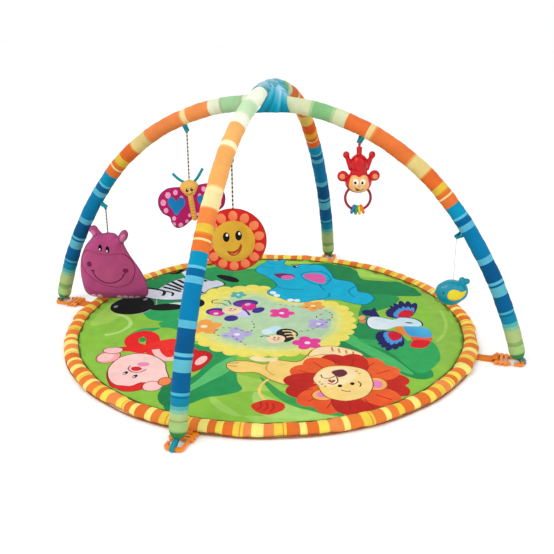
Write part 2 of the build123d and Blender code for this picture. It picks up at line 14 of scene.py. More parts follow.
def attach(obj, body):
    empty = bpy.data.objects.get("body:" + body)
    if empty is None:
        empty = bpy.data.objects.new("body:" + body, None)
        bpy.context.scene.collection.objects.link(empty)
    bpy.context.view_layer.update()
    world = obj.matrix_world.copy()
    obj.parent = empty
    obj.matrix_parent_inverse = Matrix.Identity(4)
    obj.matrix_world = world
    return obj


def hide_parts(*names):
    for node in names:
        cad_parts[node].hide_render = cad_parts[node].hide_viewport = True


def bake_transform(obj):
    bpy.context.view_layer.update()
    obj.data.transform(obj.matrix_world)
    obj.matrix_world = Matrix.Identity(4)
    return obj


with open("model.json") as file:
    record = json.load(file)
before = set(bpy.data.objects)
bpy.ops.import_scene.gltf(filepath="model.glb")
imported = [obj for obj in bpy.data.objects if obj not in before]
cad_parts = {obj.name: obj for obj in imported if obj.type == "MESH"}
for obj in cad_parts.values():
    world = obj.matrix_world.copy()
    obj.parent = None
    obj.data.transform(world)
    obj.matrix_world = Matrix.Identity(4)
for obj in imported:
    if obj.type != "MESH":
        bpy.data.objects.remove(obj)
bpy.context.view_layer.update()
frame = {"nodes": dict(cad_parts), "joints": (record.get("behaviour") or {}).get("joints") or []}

MM = 0.001
UP = np.array((0.0, 0.0, 1.0))
joints = {joint["name"]: joint for joint in frame["joints"]}
random = np.random.default_rng(11)


def unit(vectors):
    """The vectors at length 1."""
    return vectors / np.linalg.norm(vectors, axis=-1, keepdims=True)


def full_turn(count):
    """Evenly spaced angles round a full turn."""
    return np.arange(count) * 2 * pi / count


def side_word(side):
    """The word for a side: -1 is left and 1 is right."""
    return "left" if side < 0 else "right"


def show(name, data):
    """An object of this data, linked into the scene."""
    shown = bpy.data.objects.new(name, data)
    bpy.context.scene.collection.objects.link(shown)
    return shown


# ---- camera -----------------------------------------------
EYE = np.array((0.5389, -1.5481, 0.7627))
LOOK_AT = np.array((0.0107, 0.0122, 0.1222))
ROLL = radians(-0.42)

forward = unit(LOOK_AT - EYE)
level = unit(np.cross(forward, UP))
lift = np.cross(level, forward)
right = level * cos(ROLL) + lift * sin(ROLL)
top = lift * cos(ROLL) - level * sin(ROLL)
camera_data = bpy.data.cameras.new("view")
camera_data.lens = 52.73
camera_data.sensor_width = 36
camera = show("view", camera_data)
camera.matrix_world = Matrix([*zip(right, top, -forward, EYE), (0, 0, 0, 1)])
bpy.context.scene.camera = camera


# ---- colours and materials --------------------------------
def rgb(code):
    """Linear colour of a six-digit hex code."""
    parts = [int(code[i:i + 2], 16) / 255 for i in (0, 2, 4)]
    return np.array([p / 12.92 if p <= 0.04045 else ((p + 0.055) / 1.055) ** 2.4 for p in parts])


PAINT_LEVEL = 0.88
# The output that is used of each kind of node, where it isn't the first one
OUTPUTS = {"TexCoord": "Object", "TexNoise": "Fac", "TexWave": "Fac"}


class Look:
    """A material in the making."""

    def __init__(self, name, **shading):
        self.material = bpy.data.materials.new(name)
        self.material.use_nodes = True
        self.tree = self.material.node_tree
        self.shader = self.tree.nodes["Principled BSDF"]
        self.place = self.add("TexCoord")
        self.tune(self.shader, **shading)

    def tune(self, node, *inputs, **settings):
        """Sets a node's inputs, by order or by name, and its properties. A socket as a value is linked."""
        pairs = list(zip(node.inputs, inputs))
        for key, value in settings.items():
            socket = node.inputs.get(key.replace("_", " "))
            if socket is None:
                setattr(node, key, value)
            else:
                pairs.append((socket, value))
        for socket, value in pairs:
            if isinstance(value, bpy.types.NodeSocket):
                self.tree.links.new(value, socket)
            else:
                socket.default_value = value

    def add(self, kind, *inputs, **settings):
        """Adds a node and returns its output."""
        made = self.tree.nodes.new("ShaderNode" + kind)
        self.tune(made, *inputs, **settings)
        return made.outputs[OUTPUTS.get(kind, 0)]

    def noise(self, scale, detail):
        return self.add("TexNoise", Vector=self.place, Scale=scale, Detail=detail)

    def waves(self, axis, pitch, place=None):
        """Bands across an axis, pitch millimetres apart."""
        return self.add("TexWave", Vector=place or self.place, bands_direction=axis, Scale=314 / pitch)

    def bump(self, height, strength, distance, **under):
        return self.add("Bump", Height=height, Strength=strength, Distance=distance, **under)

    def paint(self, code, low, high, scale):
        """The base colour, plain or read from the mesh, made a little uneven by soft noise."""
        spread = self.add("MapRange", Value=self.noise(scale, 4.0), To_Min=low * PAINT_LEVEL,
                          To_Max=high * PAINT_LEVEL)
        tint = rgb(code) if code else self.add("Attribute", attribute_name="Tint")
        self.tune(self.shader, Base_Color=self.add("VectorMath", tint, spread, operation="MULTIPLY"))


def cloth(name, code=None, thread=1.1, depth=0.25, sheen=0.04, nap=False):
    """Woven cloth: crossed threads in the bump and a soft sheen. With nap it is a short plush."""
    look = Look(name, Roughness=0.85, Sheen_Weight=sheen, Specular_IOR_Level=0.08)
    look.paint(code, 0.8, 1.16, 45)
    if nap:
        height = look.noise(900.0, 3.0)
    else:
        height = look.waves("X", thread)
        for axis in "YZ":
            height = look.add("Math", height, look.waves(axis, thread), operation="ADD")
    folds = look.bump(look.noise(60.0, 5.0), 0.35, 0.002)
    look.tune(look.shader, Normal=look.bump(height, depth, 0.0004, Normal=folds))
    return look.material


def plastic(name, code=None, rough=0.2, coat=0.1):
    """Moulded plastic: faint flow marks, fine scuffs in the gloss and a clear skin."""
    look = Look(name, Specular_IOR_Level=0.3, Coat_Weight=coat, Coat_Roughness=0.12)
    look.paint(code, 0.93, 1.06, 30)
    scuffs = look.noise(180.0, 6.0)
    gloss = look.add("MapRange", Value=scuffs, To_Min=rough * 0.7, To_Max=rough * 1.5)
    look.tune(look.shader, Roughness=gloss, Normal=look.bump(scuffs, 0.08, 0.0006))
    return look.material


def metal(name, code):
    look = Look(name, Metallic=1.0, Roughness=0.35)
    look.paint(code, 0.9, 1.05, 120)
    return look.material


def braid(name, dark, light, pitch):
    """A two-colour braided cord: slanted bands of one colour cross bands of the other."""
    look = Look(name, Roughness=0.8)
    bands = []
    for slant in (0.9, -0.9):
        turned_place = look.add("Mapping", Vector=look.place, Rotation=(0.0, slant, slant))
        bands.append(look.waves("Z", pitch, turned_place))
    both = look.add("Math", *bands, operation="MULTIPLY")
    colour = look.add("ValToRGB", Fac=both)
    for stop, code, position in zip(colour.node.color_ramp.elements, (dark, light), (0.18, 0.32)):
        stop.color = (*rgb(code), 1)
        stop.position = position
    look.tune(look.shader, Base_Color=colour, Normal=look.bump(both, 0.5, 0.0004))
    return look.material


painted_cloth = cloth("painted cloth")
plush_cloth = cloth("painted plush", nap=True, depth=0.45, sheen=0.1)
printed_mat = cloth("printed mat cloth", depth=0.18, sheen=0.02, thread=1.6)
webbing = cloth("teal webbing", "1898A8", thread=1.6, depth=0.5)
orange_webbing = cloth("orange webbing", "F08428", thread=1.8, depth=0.5)
clip_plastic = plastic("orange plastic", "FA8C14", rough=0.25, coat=0.15)
red_plastic = plastic("red plastic", "CC0010")
ring_plastic = plastic("dark red plastic", "A00C20")
painted_plastic = plastic("painted plastic", rough=0.25)
bird_plastic = plastic("teal plastic", "0092AA")
tube_plastic = plastic("white plastic tube", "E8E8E0", rough=0.4, coat=0.0)
hub_plastic = plastic("white hub plastic", "E0E0DC", rough=0.45, coat=0.0)
rivet_metal = metal("rivet steel", "C0C0C4")
cord_braid = braid("black and beige braid", "181410", "D8C8A0", 5.0)
string_braid = braid("white string", "88888A", "D0D0D0", 1.4)


# ---- meshes -----------------------------------------------
def make(name, verts, faces, tints=None):
    """A smooth mesh object from millimetres. tints is a colour code, or a colour per face or face corner."""
    mesh = bpy.data.meshes.new(name)
    mesh.from_pydata([tuple(p) for p in np.asarray(verts, float) * MM], [], [tuple(f) for f in faces])
    if tints is not None:
        tints = np.array([rgb(tints)] * len(faces) if isinstance(tints, str) else tints, float)
        sizes = [len(f) for f in faces]
        corners = np.repeat(tints, sizes, axis=0) if len(tints) == len(faces) else tints
        layer = mesh.color_attributes.new("Tint", "FLOAT_COLOR", "CORNER")
        layer.data.foreach_set("color", np.hstack([corners, np.ones((len(corners), 1))]).ravel())
    mesh.polygons.foreach_set("use_smooth", [True] * len(mesh.polygons))
    return show(name, mesh)


def dress(piece, material, body, stands_for=()):
    """Gives a finished piece its material and body, and hides the CAD nodes it stands for."""
    piece.data.materials.append(material)
    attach(piece, body)
    if stands_for:
        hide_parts(*stands_for)
    return piece


def skin(rings, closed=False):
    """Quads between neighbouring rings of points, all with the same count. Open ends are capped."""
    rings = np.asarray(rings, float)
    count, around = rings.shape[:2]
    faces = []
    for i in range(count if closed else count - 1):
        here, there = i * around, (i + 1) % count * around
        for j in range(around):
            k = (j + 1) % around
            faces.append((here + j, here + k, there + k, there + j))
    if not closed:
        faces.append(tuple(range(around - 1, -1, -1)))
        faces.append(tuple((count - 1) * around + j for j in range(around)))
    return rings.reshape(-1, 3), faces


def ring_of(middle, a, b, turns, radius=1.0):
    """Points round a middle, in the plane of a and b, with one radius or one for each turn."""
    return middle + np.reshape(radius, (-1, 1)) * (np.outer(np.cos(turns), a) + np.outer(np.sin(turns), b))


def along(path, closed):
    """Which way the path runs at each of its points."""
    ahead = np.roll(path, -1, 0) - np.roll(path, 1, 0)
    if not closed:
        ahead[0], ahead[-1] = path[1] - path[0], path[-1] - path[-2]
    return ahead


def smooth_path(points, step, closed=False):
    """A Catmull-Rom curve through the points, sampled about every step."""
    points = np.asarray(points, float)
    count = len(points)
    if closed:
        knots = points[np.arange(-1, count + 2) % count]
    else:
        knots = points[np.clip(np.arange(-1, count + 1), 0, count - 1)]
    out = []
    for p0, p1, p2, p3 in zip(knots, knots[1:], knots[2:], knots[3:]):
        t = np.linspace(0, 1, max(2, int(np.linalg.norm(p2 - p1) / step)), endpoint=False)[:, None]
        out.append(
            0.5 * (2 * p1 + (p2 - p0) * t + (2 * p0 - 5 * p1 + 4 * p2 - p3) * t**2
                   + (3 * p1 - p0 - 3 * p2 + p3) * t**3)
        )
    if not closed:
        out.append(points[-1:])
    return np.vstack(out)


def ribbon(name, points, side, width, thick, closed=False):
    """A flat strap with rounded edges that follows the points, wide along side."""
    path = smooth_path(points, 2.0, closed)
    side = unit(np.asarray(side, float))
    out = unit(np.cross(side, along(path, closed)))
    edge, half = width / 2, thick / 2
    shoulder = edge - half * 0.3
    profile = ((shoulder, half), (edge, 0), (shoulder, -half), (0, -half),
               (-shoulder, -half), (-edge, 0), (-shoulder, half), (0, half))
    rings = [[p + side * a + o * b for a, b in profile] for p, o in zip(path, out)]
    return make(name, *skin(rings, closed))


def round_tube(name, path, radius, around, code=None):
    """A closed loop of round cord."""
    path = np.asarray(path, float)
    ahead = unit(along(path, closed=True))
    across = unit(np.cross(ahead, (0.31, 0.17, 0.93)))
    over = np.cross(ahead, across)
    rings = [ring_of(p, a, o, full_turn(around), radius) for p, a, o in zip(path, across, over)]
    return make(name, *skin(rings, closed=True), code)


def moulded(source, name):
    """A copy of a CAD node with its sharp edges rounded."""
    shape = bmesh.new()
    shape.from_mesh(frame["nodes"][source].data)
    bmesh.ops.remove_doubles(shape, verts=shape.verts, dist=2e-6)
    bmesh.ops.dissolve_limit(shape, angle_limit=radians(1.5), verts=shape.verts, edges=shape.edges)
    verts = [tuple(v.co / MM) for v in shape.verts]
    faces = [tuple(v.index for v in f.verts) for f in shape.faces]
    shape.free()
    made = make(name, verts, faces)
    bevel = made.modifiers.new("edges", "BEVEL")
    bevel.width = 1.3 * MM
    bevel.segments = 3
    bevel.limit_method = "ANGLE"
    bevel.angle_limit = radians(35)
    bevel.harden_normals = True
    return apply_modifiers(made)


def apply_modifiers(piece):
    evaluated = piece.evaluated_get(bpy.context.evaluated_depsgraph_get())
    mesh = bpy.data.meshes.new_from_object(evaluated)
    piece.modifiers.clear()
    piece.data = mesh
    return piece


# ---- flat artwork: closed outlines that later ones cover --
def pairs(points):
    return np.reshape(points, (-1, 2))


class Art:
    """Shapes on a plane, from the back one to the front one."""

    def __init__(self, ground, step):
        self.ground = rgb(ground)
        self.step = step
        self.shapes = []

    def put(self, loop, colour, fade=None):
        self.shapes.append((np.asarray(loop, float), rgb(colour), fade and rgb(fade)))

    def blob(self, colour, *points, fade=None, edge=None):
        """A rounded shape through the points."""
        if edge:
            self.line(edge, 4.6, *points, closed=True)
        self.put(smooth_path(pairs(points), self.step, True), colour, fade)

    def rimmed(self, rim, colour, points, size, fade, shift=(0, 0)):
        """A blob in the rim's colour, with a smaller one on it."""
        self.blob(rim, *points)
        middle = pairs(points).mean(0)
        self.blob(colour, *((pairs(points) - middle) * size + middle + shift).ravel(), fade=fade)

    def oval(self, colour, x, y, across, high, turn=0, fade=None, edge=None):
        if edge:
            self.oval(edge, x, y, across + 2, high + 2, turn)
        a = full_turn(max(10, int(2 * pi * max(across, high) / self.step)))
        t = radians(turn)
        u, v = across * np.cos(a), high * np.sin(a)
        loop = np.stack([x + u * cos(t) - v * sin(t), y + u * sin(t) + v * cos(t)], 1)
        self.put(loop, colour, fade)

    def ovals(self, colour, across, high, *places, turn=0):
        """The same oval at each place."""
        for x, y in pairs(places):
            self.oval(colour, x, y, across, high, turn)

    def line(self, colour, width, *points, closed=False):
        path = smooth_path(pairs(points), self.step, closed)
        ahead = np.gradient(path, axis=0)
        out = np.stack([-ahead[:, 1], ahead[:, 0]], 1)
        out *= width / 2 / np.linalg.norm(out, axis=1)[:, None]
        self.put(np.vstack([path + out, (path - out)[::-1]]), colour)

    def lines(self, colour, width, *paths):
        """One line for each tuple of points."""
        for points in paths:
            self.line(colour, width, *points)

    def dashes(self, colour, width, dash, *points):
        path = smooth_path(pairs(points), dash)
        for first, last in zip(path[::2], path[1::2]):
            self.line(colour, width, *first, *last)

    def move(self, change):
        """Applies a change to every outline."""
        self.shapes = [(change(loop), colour, fade) for loop, colour, fade in self.shapes]


def inside(points, loop):
    """Which points lie inside a closed loop."""
    hit = np.zeros(len(points), bool)
    low, high = loop.min(0), loop.max(0)
    near = np.where(((points >= low) & (points <= high)).all(1))[0]
    if not len(near):
        return hit
    x, y = points[near, 0], points[near, 1]
    odd = np.zeros(len(near), bool)
    for (x1, y1), (x2, y2) in zip(loop, np.roll(loop, -1, 0)):
        if y1 != y2:
            cut = ((y1 > y) != (y2 > y)) & (x < (x2 - x1) * (y - y1) / (y2 - y1) + x1)
            odd ^= cut
    hit[near] = odd
    return hit


def distance_to(points, loop):
    """Each point's distance to a closed loop."""
    best = np.full(len(points), 1e9)
    for a, b in zip(loop, np.roll(loop, -1, 0)):
        span = b - a
        t = np.clip(((points - a) @ span) / max(span @ span, 1e-9), 0, 1)
        best = np.minimum(best, np.linalg.norm(points - a - t[:, None] * span, axis=1))
    return best


def cut_out(outline, art, grid):
    """Triangles inside outline that follow every edge of the art, with a colour at each corner."""
    outline = np.asarray(outline, float)
    loops = [outline] + [loop for loop, *_ in art.shapes]
    low, high = outline.min(0), outline.max(0)
    xs, ys = np.arange(low[0], high[0], grid), np.arange(low[1], high[1], grid * 0.87)
    fill = np.array([(x + (k % 2) * grid / 2, y) for k, y in enumerate(ys) for x in xs])
    fill = fill[inside(fill, outline)]
    fill = fill[distance_to(fill, outline) > grid * 0.4]
    points, edges = [], []
    for loop in loops:
        base, count = len(points), len(loop)
        points += [Vector(p) for p in loop]
        edges += [(base + i, base + (i + 1) % count) for i in range(count)]
    points += [Vector(p) for p in fill]
    flat, _, faces, *_ = delaunay_2d_cdt(points, edges, [], 0, 0.02)
    flat = np.array([tuple(p) for p in flat])
    faces = np.array(faces)
    middles = flat[faces].mean(1)
    keep = inside(middles, outline)
    faces, middles = faces[keep], middles[keep]
    used, where = np.unique(faces, return_inverse=True)
    flat, faces = flat[used], where.reshape(faces.shape)
    corners = flat[faces]
    tints = np.tile(art.ground, (len(faces), 3, 1))
    for loop, colour, fade in art.shapes:
        hit = inside(middles, loop)
        if not hit.any():
            continue
        tints[hit] = colour
        if fade is not None:
            span = loop.max(0) - loop.min(0) + 1e-6
            t = np.clip((corners[hit] - loop.min(0)) / span, 0, 1).mean(2)[..., None]
            tints[hit] = colour * (1 - t) + fade * t
    return flat, faces, tints


def rim_of(faces):
    """The boundary of a triangulated patch as ordered vertex indices."""
    sides = {}
    for f in faces:
        for a, b in zip(f, np.roll(f, -1)):
            sides[(a, b)] = True
    after = {a: b for a, b in sides if (b, a) not in sides}
    first = next(iter(after))
    loop = [first]
    while after[loop[-1]] != first:
        loop.append(after[loop[-1]])
    return loop


# ---- arches -----------------------------------------------
UPPER = dict(crown=526.0, bend=380.0, bend_angle=42.5, leg=740.0, leg_angle=37.0, body="upper_arch")
LOWER = dict(crown=500.0, bend=480.0, bend_angle=52.0, leg=840.0, leg_angle=23.2, body="lower_arch")
# Each leg: its arch, which way it heads, and how far out its clip starts
LEGS = {
    "front": (UPPER, np.array((0.0, -1.0, 0.0)), 450.0),
    "back": (UPPER, np.array((0.0, 1.0, 0.0)), 450.0),
    "left": (LOWER, np.array((-1.0, 0.0, 0.0)), 484.0),
    "right": (LOWER, np.array((1.0, 0.0, 0.0)), 484.0),
}


def leg_length(arch):
    return arch["bend"] * radians(arch["bend_angle"]) + arch["leg"] * radians(arch["leg_angle"])


def on_arch(arch, heading, length):
    """The centreline point, direction and outer normal this far from the crown."""
    bent = arch["bend"] * radians(arch["bend_angle"])
    if length <= bent:
        turn = length / arch["bend"]
        out, height = arch["bend"] * sin(turn), arch["crown"] - arch["bend"] * (1 - cos(turn))
    else:
        first = radians(arch["bend_angle"])
        turn = first + (length - bent) / arch["leg"]
        out = arch["bend"] * sin(first) + arch["leg"] * (sin(turn) - sin(first))
        height = arch["crown"] - arch["bend"] * (1 - cos(first)) - arch["leg"] * (cos(first) - cos(turn))
    ahead = heading * cos(turn) - UP * sin(turn)
    return heading * out + UP * height, ahead, heading * sin(turn) + UP * cos(turn)


# Stripes down every leg: where each one ends, in millimetres from the crown, and its colour
STRIPES = (
    (86, "D8E0B4"), (92, "B0D098"), (130, "86C282"), (136, "B0CE98"), (162, "DCE2B4"),
    (208, "EA7336"), (219, "F2D890"), (223, "EE9450"), (306, "EA7A3A"), (310, "E8A45C"),
    (348, "E8D084"), (351, "E89A50"), (383, "E86E2E"), (400, "E6C040"), (404, "DC8C34"),
    (411, "E8702E"), (415, "F2DC98"), (434, "E87634"), (458, "0092BA"), (463, "5EC0DC"),
    (476, "00659A"), (488, "5CB8D6"), (550, "007CAE"), (563, "58B4D2"), (604, "00568A"),
    (610, "60BCD2"), (615, "00649A"), (636, "5CB6C8"), (670, "005F94"), (675, "48B0C4"),
    (680, "00709E"), (696, "0F86A8"), (704, "58B0A8"), (712, "84C0A0"), (738, "B0C680"),
    (748, "8AB066"), (900, "A6C27A"),
)
SLEEVE_RADIUS = 15.8
CUFF = 30.0
# How far the pattern is slid down each leg: (length, slide) pairs
SLIDES = {
    "front": ((0, 24), (222, 24), (310, 18), (348, 18), (403, 11), (675, 10), (712, 4), (900, 4)),
    "back": ((0, -45), (348, -54), (434, -50), (560, -35), (712, -22), (900, -10)),
    "left": ((0, -35), (162, -34), (208, -27), (348, -19), (434, -15), (480, -8), (555, -1), (900, -8)),
    "right": ((0, 3), (310, 3), (385, 0), (403, -4), (434, -4), (476, -2), (560, 0), (900, -3)),
}
# Painted light and shade for each leg: a brightness for its stripes, lower on the shaded legs, and the paler
# or deeper colours that stand for the light on a leg's upper part
LEG_LIGHT_AND_SHADE = {"front": 1.03, "back": 0.84, "left": 0.9, "right": 0.97}
LEG_LIGHT_TONES = {
    "front": {
        "D8E0B4": "F0F6E0", "B0D098": "D8ECC8", "86C282": "C4E2B8", "B0CE98": "D8ECC8", "DCE2B4": "F2F6E2",
        "EA7336": "F6B468", "F2D890": "FCF2C0", "EE9450": "F8BC78", "EA7A3A": "F5AE60", "E8A45C": "F6C480",
        "E8D084": "F7E4A4", "E89A50": "F4AC5C", "E86E2E": "EE8640",
    },
    "left": {
        "D8E0B4": "EEF4D0", "86C282": "AEDAA4", "DCE2B4": "F0F4D4", "EA7336": "FA9852", "F2D890": "FCE4A0",
        "EE9450": "F8A862", "EA7A3A": "F48E4C",
    },
    "back": {
        "EA7A3A": "FA7428", "E8D084": "F0C860", "E86E2E": "F4601C", "E6C040": "F8B030", "E8702E": "F4601C",
        "E87634": "F46820",
    },
    "right": {},
}


def slid(leg, length):
    return length + np.interp(length, *zip(*SLIDES[leg]))


def stripe_at(leg, length):
    code = next(code for end, code in STRIPES if length < slid(leg, end))
    # the stripe's colour with the leg's painted light and shade
    return rgb(LEG_LIGHT_TONES[leg].get(code, code)) * LEG_LIGHT_AND_SHADE[leg]


# Wrinkles in a sleeve: height, how fast each runs down the leg, and how many go round it
WRINKLES = ((0.30, 0.10, 2), (0.22, 0.23, -3), (0.16, 0.47, 5), (0.25, 0.05, 1), (0.14, 0.9, -2))


def sleeve(leg):
    """The striped, softly wrinkled fabric sleeve of one leg."""
    arch, heading, _ = LEGS[leg]
    start = 46.0 if arch is UPPER else 36.0
    end = leg_length(arch) - CUFF - 0.9
    stops = [slid(leg, s) for s, _ in STRIPES]
    stops = [s for s in stops if start < s < end]
    lengths = np.unique(np.round(np.concatenate([np.arange(start, end, 3.0), stops, [end]]), 2))
    phases = random.uniform(0, 2 * pi, 8)
    turns = full_turn(36)
    rings = []
    for s in lengths:
        middle, _, out = on_arch(arch, heading, s)
        swell = sum(high * np.sin(down * s + round_it * turns + phase)
                    for (high, down, round_it), phase in zip(WRINKLES, phases))
        pinch = 1.4 * np.exp(-(end - s) / 6) * (0.6 + 0.4 * np.cos(14 * turns + phases[5]))
        rings.append(ring_of(middle, out, np.cross(heading, UP), turns, SLEEVE_RADIUS + swell - pinch))
    tints = [stripe_at(leg, (a + b) / 2) for a, b in zip(lengths, lengths[1:]) for _ in turns]
    tints += [stripe_at(leg, 0), stripe_at(leg, 800)]
    made = make(f"{leg}_striped_sleeve", *skin(rings), tints)
    return dress(made, painted_cloth, arch["body"], (f"{leg}_sleeve", f"{leg}_foam"))


def gathered_cuff(leg):
    """The green end of a leg, drawn together into pleats round the tube's end."""
    arch, heading, _ = LEGS[leg]
    turns = full_turn(72)
    phase = random.uniform(0, 2 * pi)
    pale, dark = rgb("A4C67A"), rgb("3A8A4A")
    rings, tints = [], []
    for back in np.linspace(CUFF + 0.5, 0, 22):
        middle, _, out = on_arch(arch, heading, leg_length(arch) - back)
        share = 1 - back / CUFF
        base = 15.7 - 6.4 * max((share - 0.4) / 0.6, 0) ** 2
        pleat = 0.3 + 1.8 * max(share - 0.3, 0)
        wave = pleat * (abs(np.sin(6.5 * turns + phase + 2.2 * share)) - 0.5)
        wave += 0.4 * np.sin(3 * turns + phase)
        rings.append(ring_of(middle, out, np.cross(heading, UP), turns, base + wave))
        blend = min(max((share - 0.5) / 0.12, 0), 1)
        tints += [pale * (1 - blend) + dark * blend] * len(turns)
    tints = tints[:-len(turns)] + [pale, dark]
    made = make(f"{leg}_gathered_cuff", *skin(rings), tints)
    return dress(made, painted_cloth, arch["body"], (f"{leg}_cuff",))


def foot_parts(leg):
    """The webbing loop at a foot, the clip it hooks into and the tab that holds the clip."""
    arch, heading, start = LEGS[leg]
    foot, _, out = on_arch(arch, heading, leg_length(arch))
    side = np.cross(heading, UP)
    bar_in, bar_out = start + 51, start + 58
    loop = [heading * (bar_in - 1.2) + UP * 1.0, heading * (bar_out + 1.0) + UP * 1.0,
            heading * (bar_out + 1.2) + UP * 8.0, foot + out * 3.2 + UP * 0.5,
            foot - out * 3.2 + UP * 0.5, heading * (bar_in - 1.4) + UP * 5.2]
    made = ribbon(f"{leg}_webbing_loop", loop, side, 9.0, 1.2, closed=True)
    dress(made, webbing, arch["body"], (f"{leg}_foot_loop",))
    strip = [heading * reach + UP * height for reach, height in (
        (431, 0.9), (start + 5.4, 0.9), (start + 6.3, 4.2), (start + 5.0, 7.7), (start - 2.6, 7.7),
        (start - 10, 2.8), (431, 2.3))]
    made = ribbon(f"{leg}_webbing_tab", strip, side, 24.0, 1.3)
    dress(made, orange_webbing, "mat", (f"{leg}_tab",))
    made = moulded(f"{leg}_clip", f"{leg}_moulded_clip")
    dress(made, clip_plastic, "mat", (f"{leg}_clip",))


for leg in LEGS:
    sleeve(leg)
    gathered_cuff(leg)
    foot_parts(leg)


# ---- hub --------------------------------------------------
def cap_tint(high, streak):
    """Teal cloth with painted light: paler the higher it lies on the hub, and painted pale highlights along
    its folds.
    """
    share = min(max(0.15 + 0.75 * high + 0.35 * streak, 0), 1)
    steps = np.array([rgb("006C84"), rgb("049CBC"), rgb("66C0D8"), rgb("C4E4F4")])
    return np.array([np.interp(share, (0, 0.4, 0.7, 1), steps[:, k]) for k in range(3)])


def cloth_sheet(name, grid, thick, tints):
    """A doubled sheet from a grid of points; thick is how far its lining lies behind it."""
    grid = np.asarray(grid, float)
    rows, wide = grid.shape[:2]
    normal = np.cross(np.gradient(grid, axis=1), np.gradient(grid, axis=0))
    normal /= np.linalg.norm(normal, axis=2, keepdims=True) + 1e-9
    verts = np.concatenate([grid.reshape(-1, 3), (grid + normal * thick).reshape(-1, 3)])
    count = rows * wide
    faces, colours = [], []
    for a in range(count - wide):
        if (a + 1) % wide:
            quad = (a, a + 1, a + 1 + wide, a + wide)
            faces += [quad, tuple(count + k for k in quad[::-1])]
            # the lining gets the face's colour painted a quarter darker, as painted shade on the cloth's
            # inner side
            colours += [tints[a], tints[a] * 0.75]
    edge = list(range(wide)) + [k * wide + wide - 1 for k in range(1, rows)]
    edge += list(range(count - 2, count - wide - 1, -1)) + [k * wide for k in range(rows - 2, 0, -1)]
    for a, b in zip(edge, edge[1:] + edge[:1]):
        faces.append((b, a, count + a, count + b))
        colours.append(tints[a])
    return make(name, verts, faces, colours)


def over_arch(arch, heading, length, turn, radius):
    """A point round the arch's tube: turn is degrees from its outer side toward cross(heading, UP)."""
    middle, _, out = on_arch(arch, heading, length)
    across = np.cross(heading, UP)
    return middle + radius * (out * cos(radians(turn)) + across * sin(radians(turn)))


SADDLE_REACH = 50
SADDLE_WRAP = 112
CAP_LINING = -1.2
# How far down each arch the cap's sides reach
HEM_ON_UPPER = 104
WEB_ON_LOWER = (36, 15)


def cap_saddle():
    """The teal cloth wrapped over the upper arch at the crossing, with folds across it."""
    grid, tints = [], []
    for length in np.linspace(-SADDLE_REACH, SADDLE_REACH, 61):
        way = -1.0 if length < 0 else 1.0
        row = []
        for turn in np.linspace(SADDLE_WRAP, -SADDLE_WRAP, 45):
            fold = sin(length * 0.17 + turn * 0.03) + 0.7 * sin(length * 0.39 - turn * 0.05 + 1)
            fold *= min(1, (SADDLE_REACH - abs(length)) / 12)
            radius = 17.1 + 0.7 * fold * (0.4 + abs(turn) / 120)
            row.append(over_arch(UPPER, np.array((0.0, way, 0.0)), abs(length), turn * way, radius))
            # painted light: paler over the top of the arch, with painted highlights along the folds
            tints.append(cap_tint(1.15 - abs(turn) / 100, 0.4 * fold))
        grid.append(row)
    made = cloth_sheet("hub_gathered_cap", grid, CAP_LINING, tints)
    return dress(made, painted_cloth, "upper_arch", ("hub_cap",))


def web_point(side, near, share, t):
    """A point of the cap's side, and its fold. share runs from arch to arch, and t down to the hem."""
    way, heading = np.array((float(side), 0.0, 0.0)), np.array((0.0, near, 0.0))
    a = over_arch(UPPER, heading, HEM_ON_UPPER * t**0.9, (14 + 140 * t) * side * near, 18.2)
    b = over_arch(LOWER, way, WEB_ON_LOWER[0] + WEB_ON_LOWER[1] * t, 140 * t * -side * near, 17.4)
    point = a * (1 - share) + b * share
    bow = sin(pi * share)
    fold = sin(3.6 * pi * share + 2.0 + 0.5 * near)
    fold += 0.6 * sin(8.2 * pi * share - 1.2 + near + 0.8 * t)
    out = way * 0.7 + heading * 0.7
    point = point + out * (1.5 * fold * bow * (0.25 + t)) - out * 3.0 * bow * t
    point = point - UP * 2.5 * bow * sin(pi * t)
    axis = np.array((0.0, point[1], UPPER["crown"] - point[1] ** 2 / (2 * UPPER["bend"])))
    apart = point - axis
    return axis + apart * max(1, 18.0 / np.linalg.norm(apart)), fold * bow


def cap_side(side):
    """The part of the cap that falls from the upper arch to one leg of the lower arch, both its webs."""
    rows, tints = [], []
    down, across = 26, 34
    for v in np.arange(2 * across + 1)[::side] / across - 1:
        row = []
        for t in np.arange(down + 1) / down:
            point, fold = web_point(side, -1.0 if v < 0 else 1.0, 1 - abs(v), t)
            row.append(point)
            # painted light: darker toward the hem, with painted highlights along the folds
            tints.append(cap_tint(0.95 - 1.0 * t, 0.42 * fold))
        rows.append(row)
    word = side_word(side)
    made = cloth_sheet(f"hub_cap_side_{word}", rows, CAP_LINING, tints)
    made.data.materials.append(painted_cloth)
    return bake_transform(made)


cap_saddle()
cap_side(1)
cap_side(-1)


# ---- mat --------------------------------------------------
PANEL_RADIUS = 416.0
FLOOR_TOP = 14.6


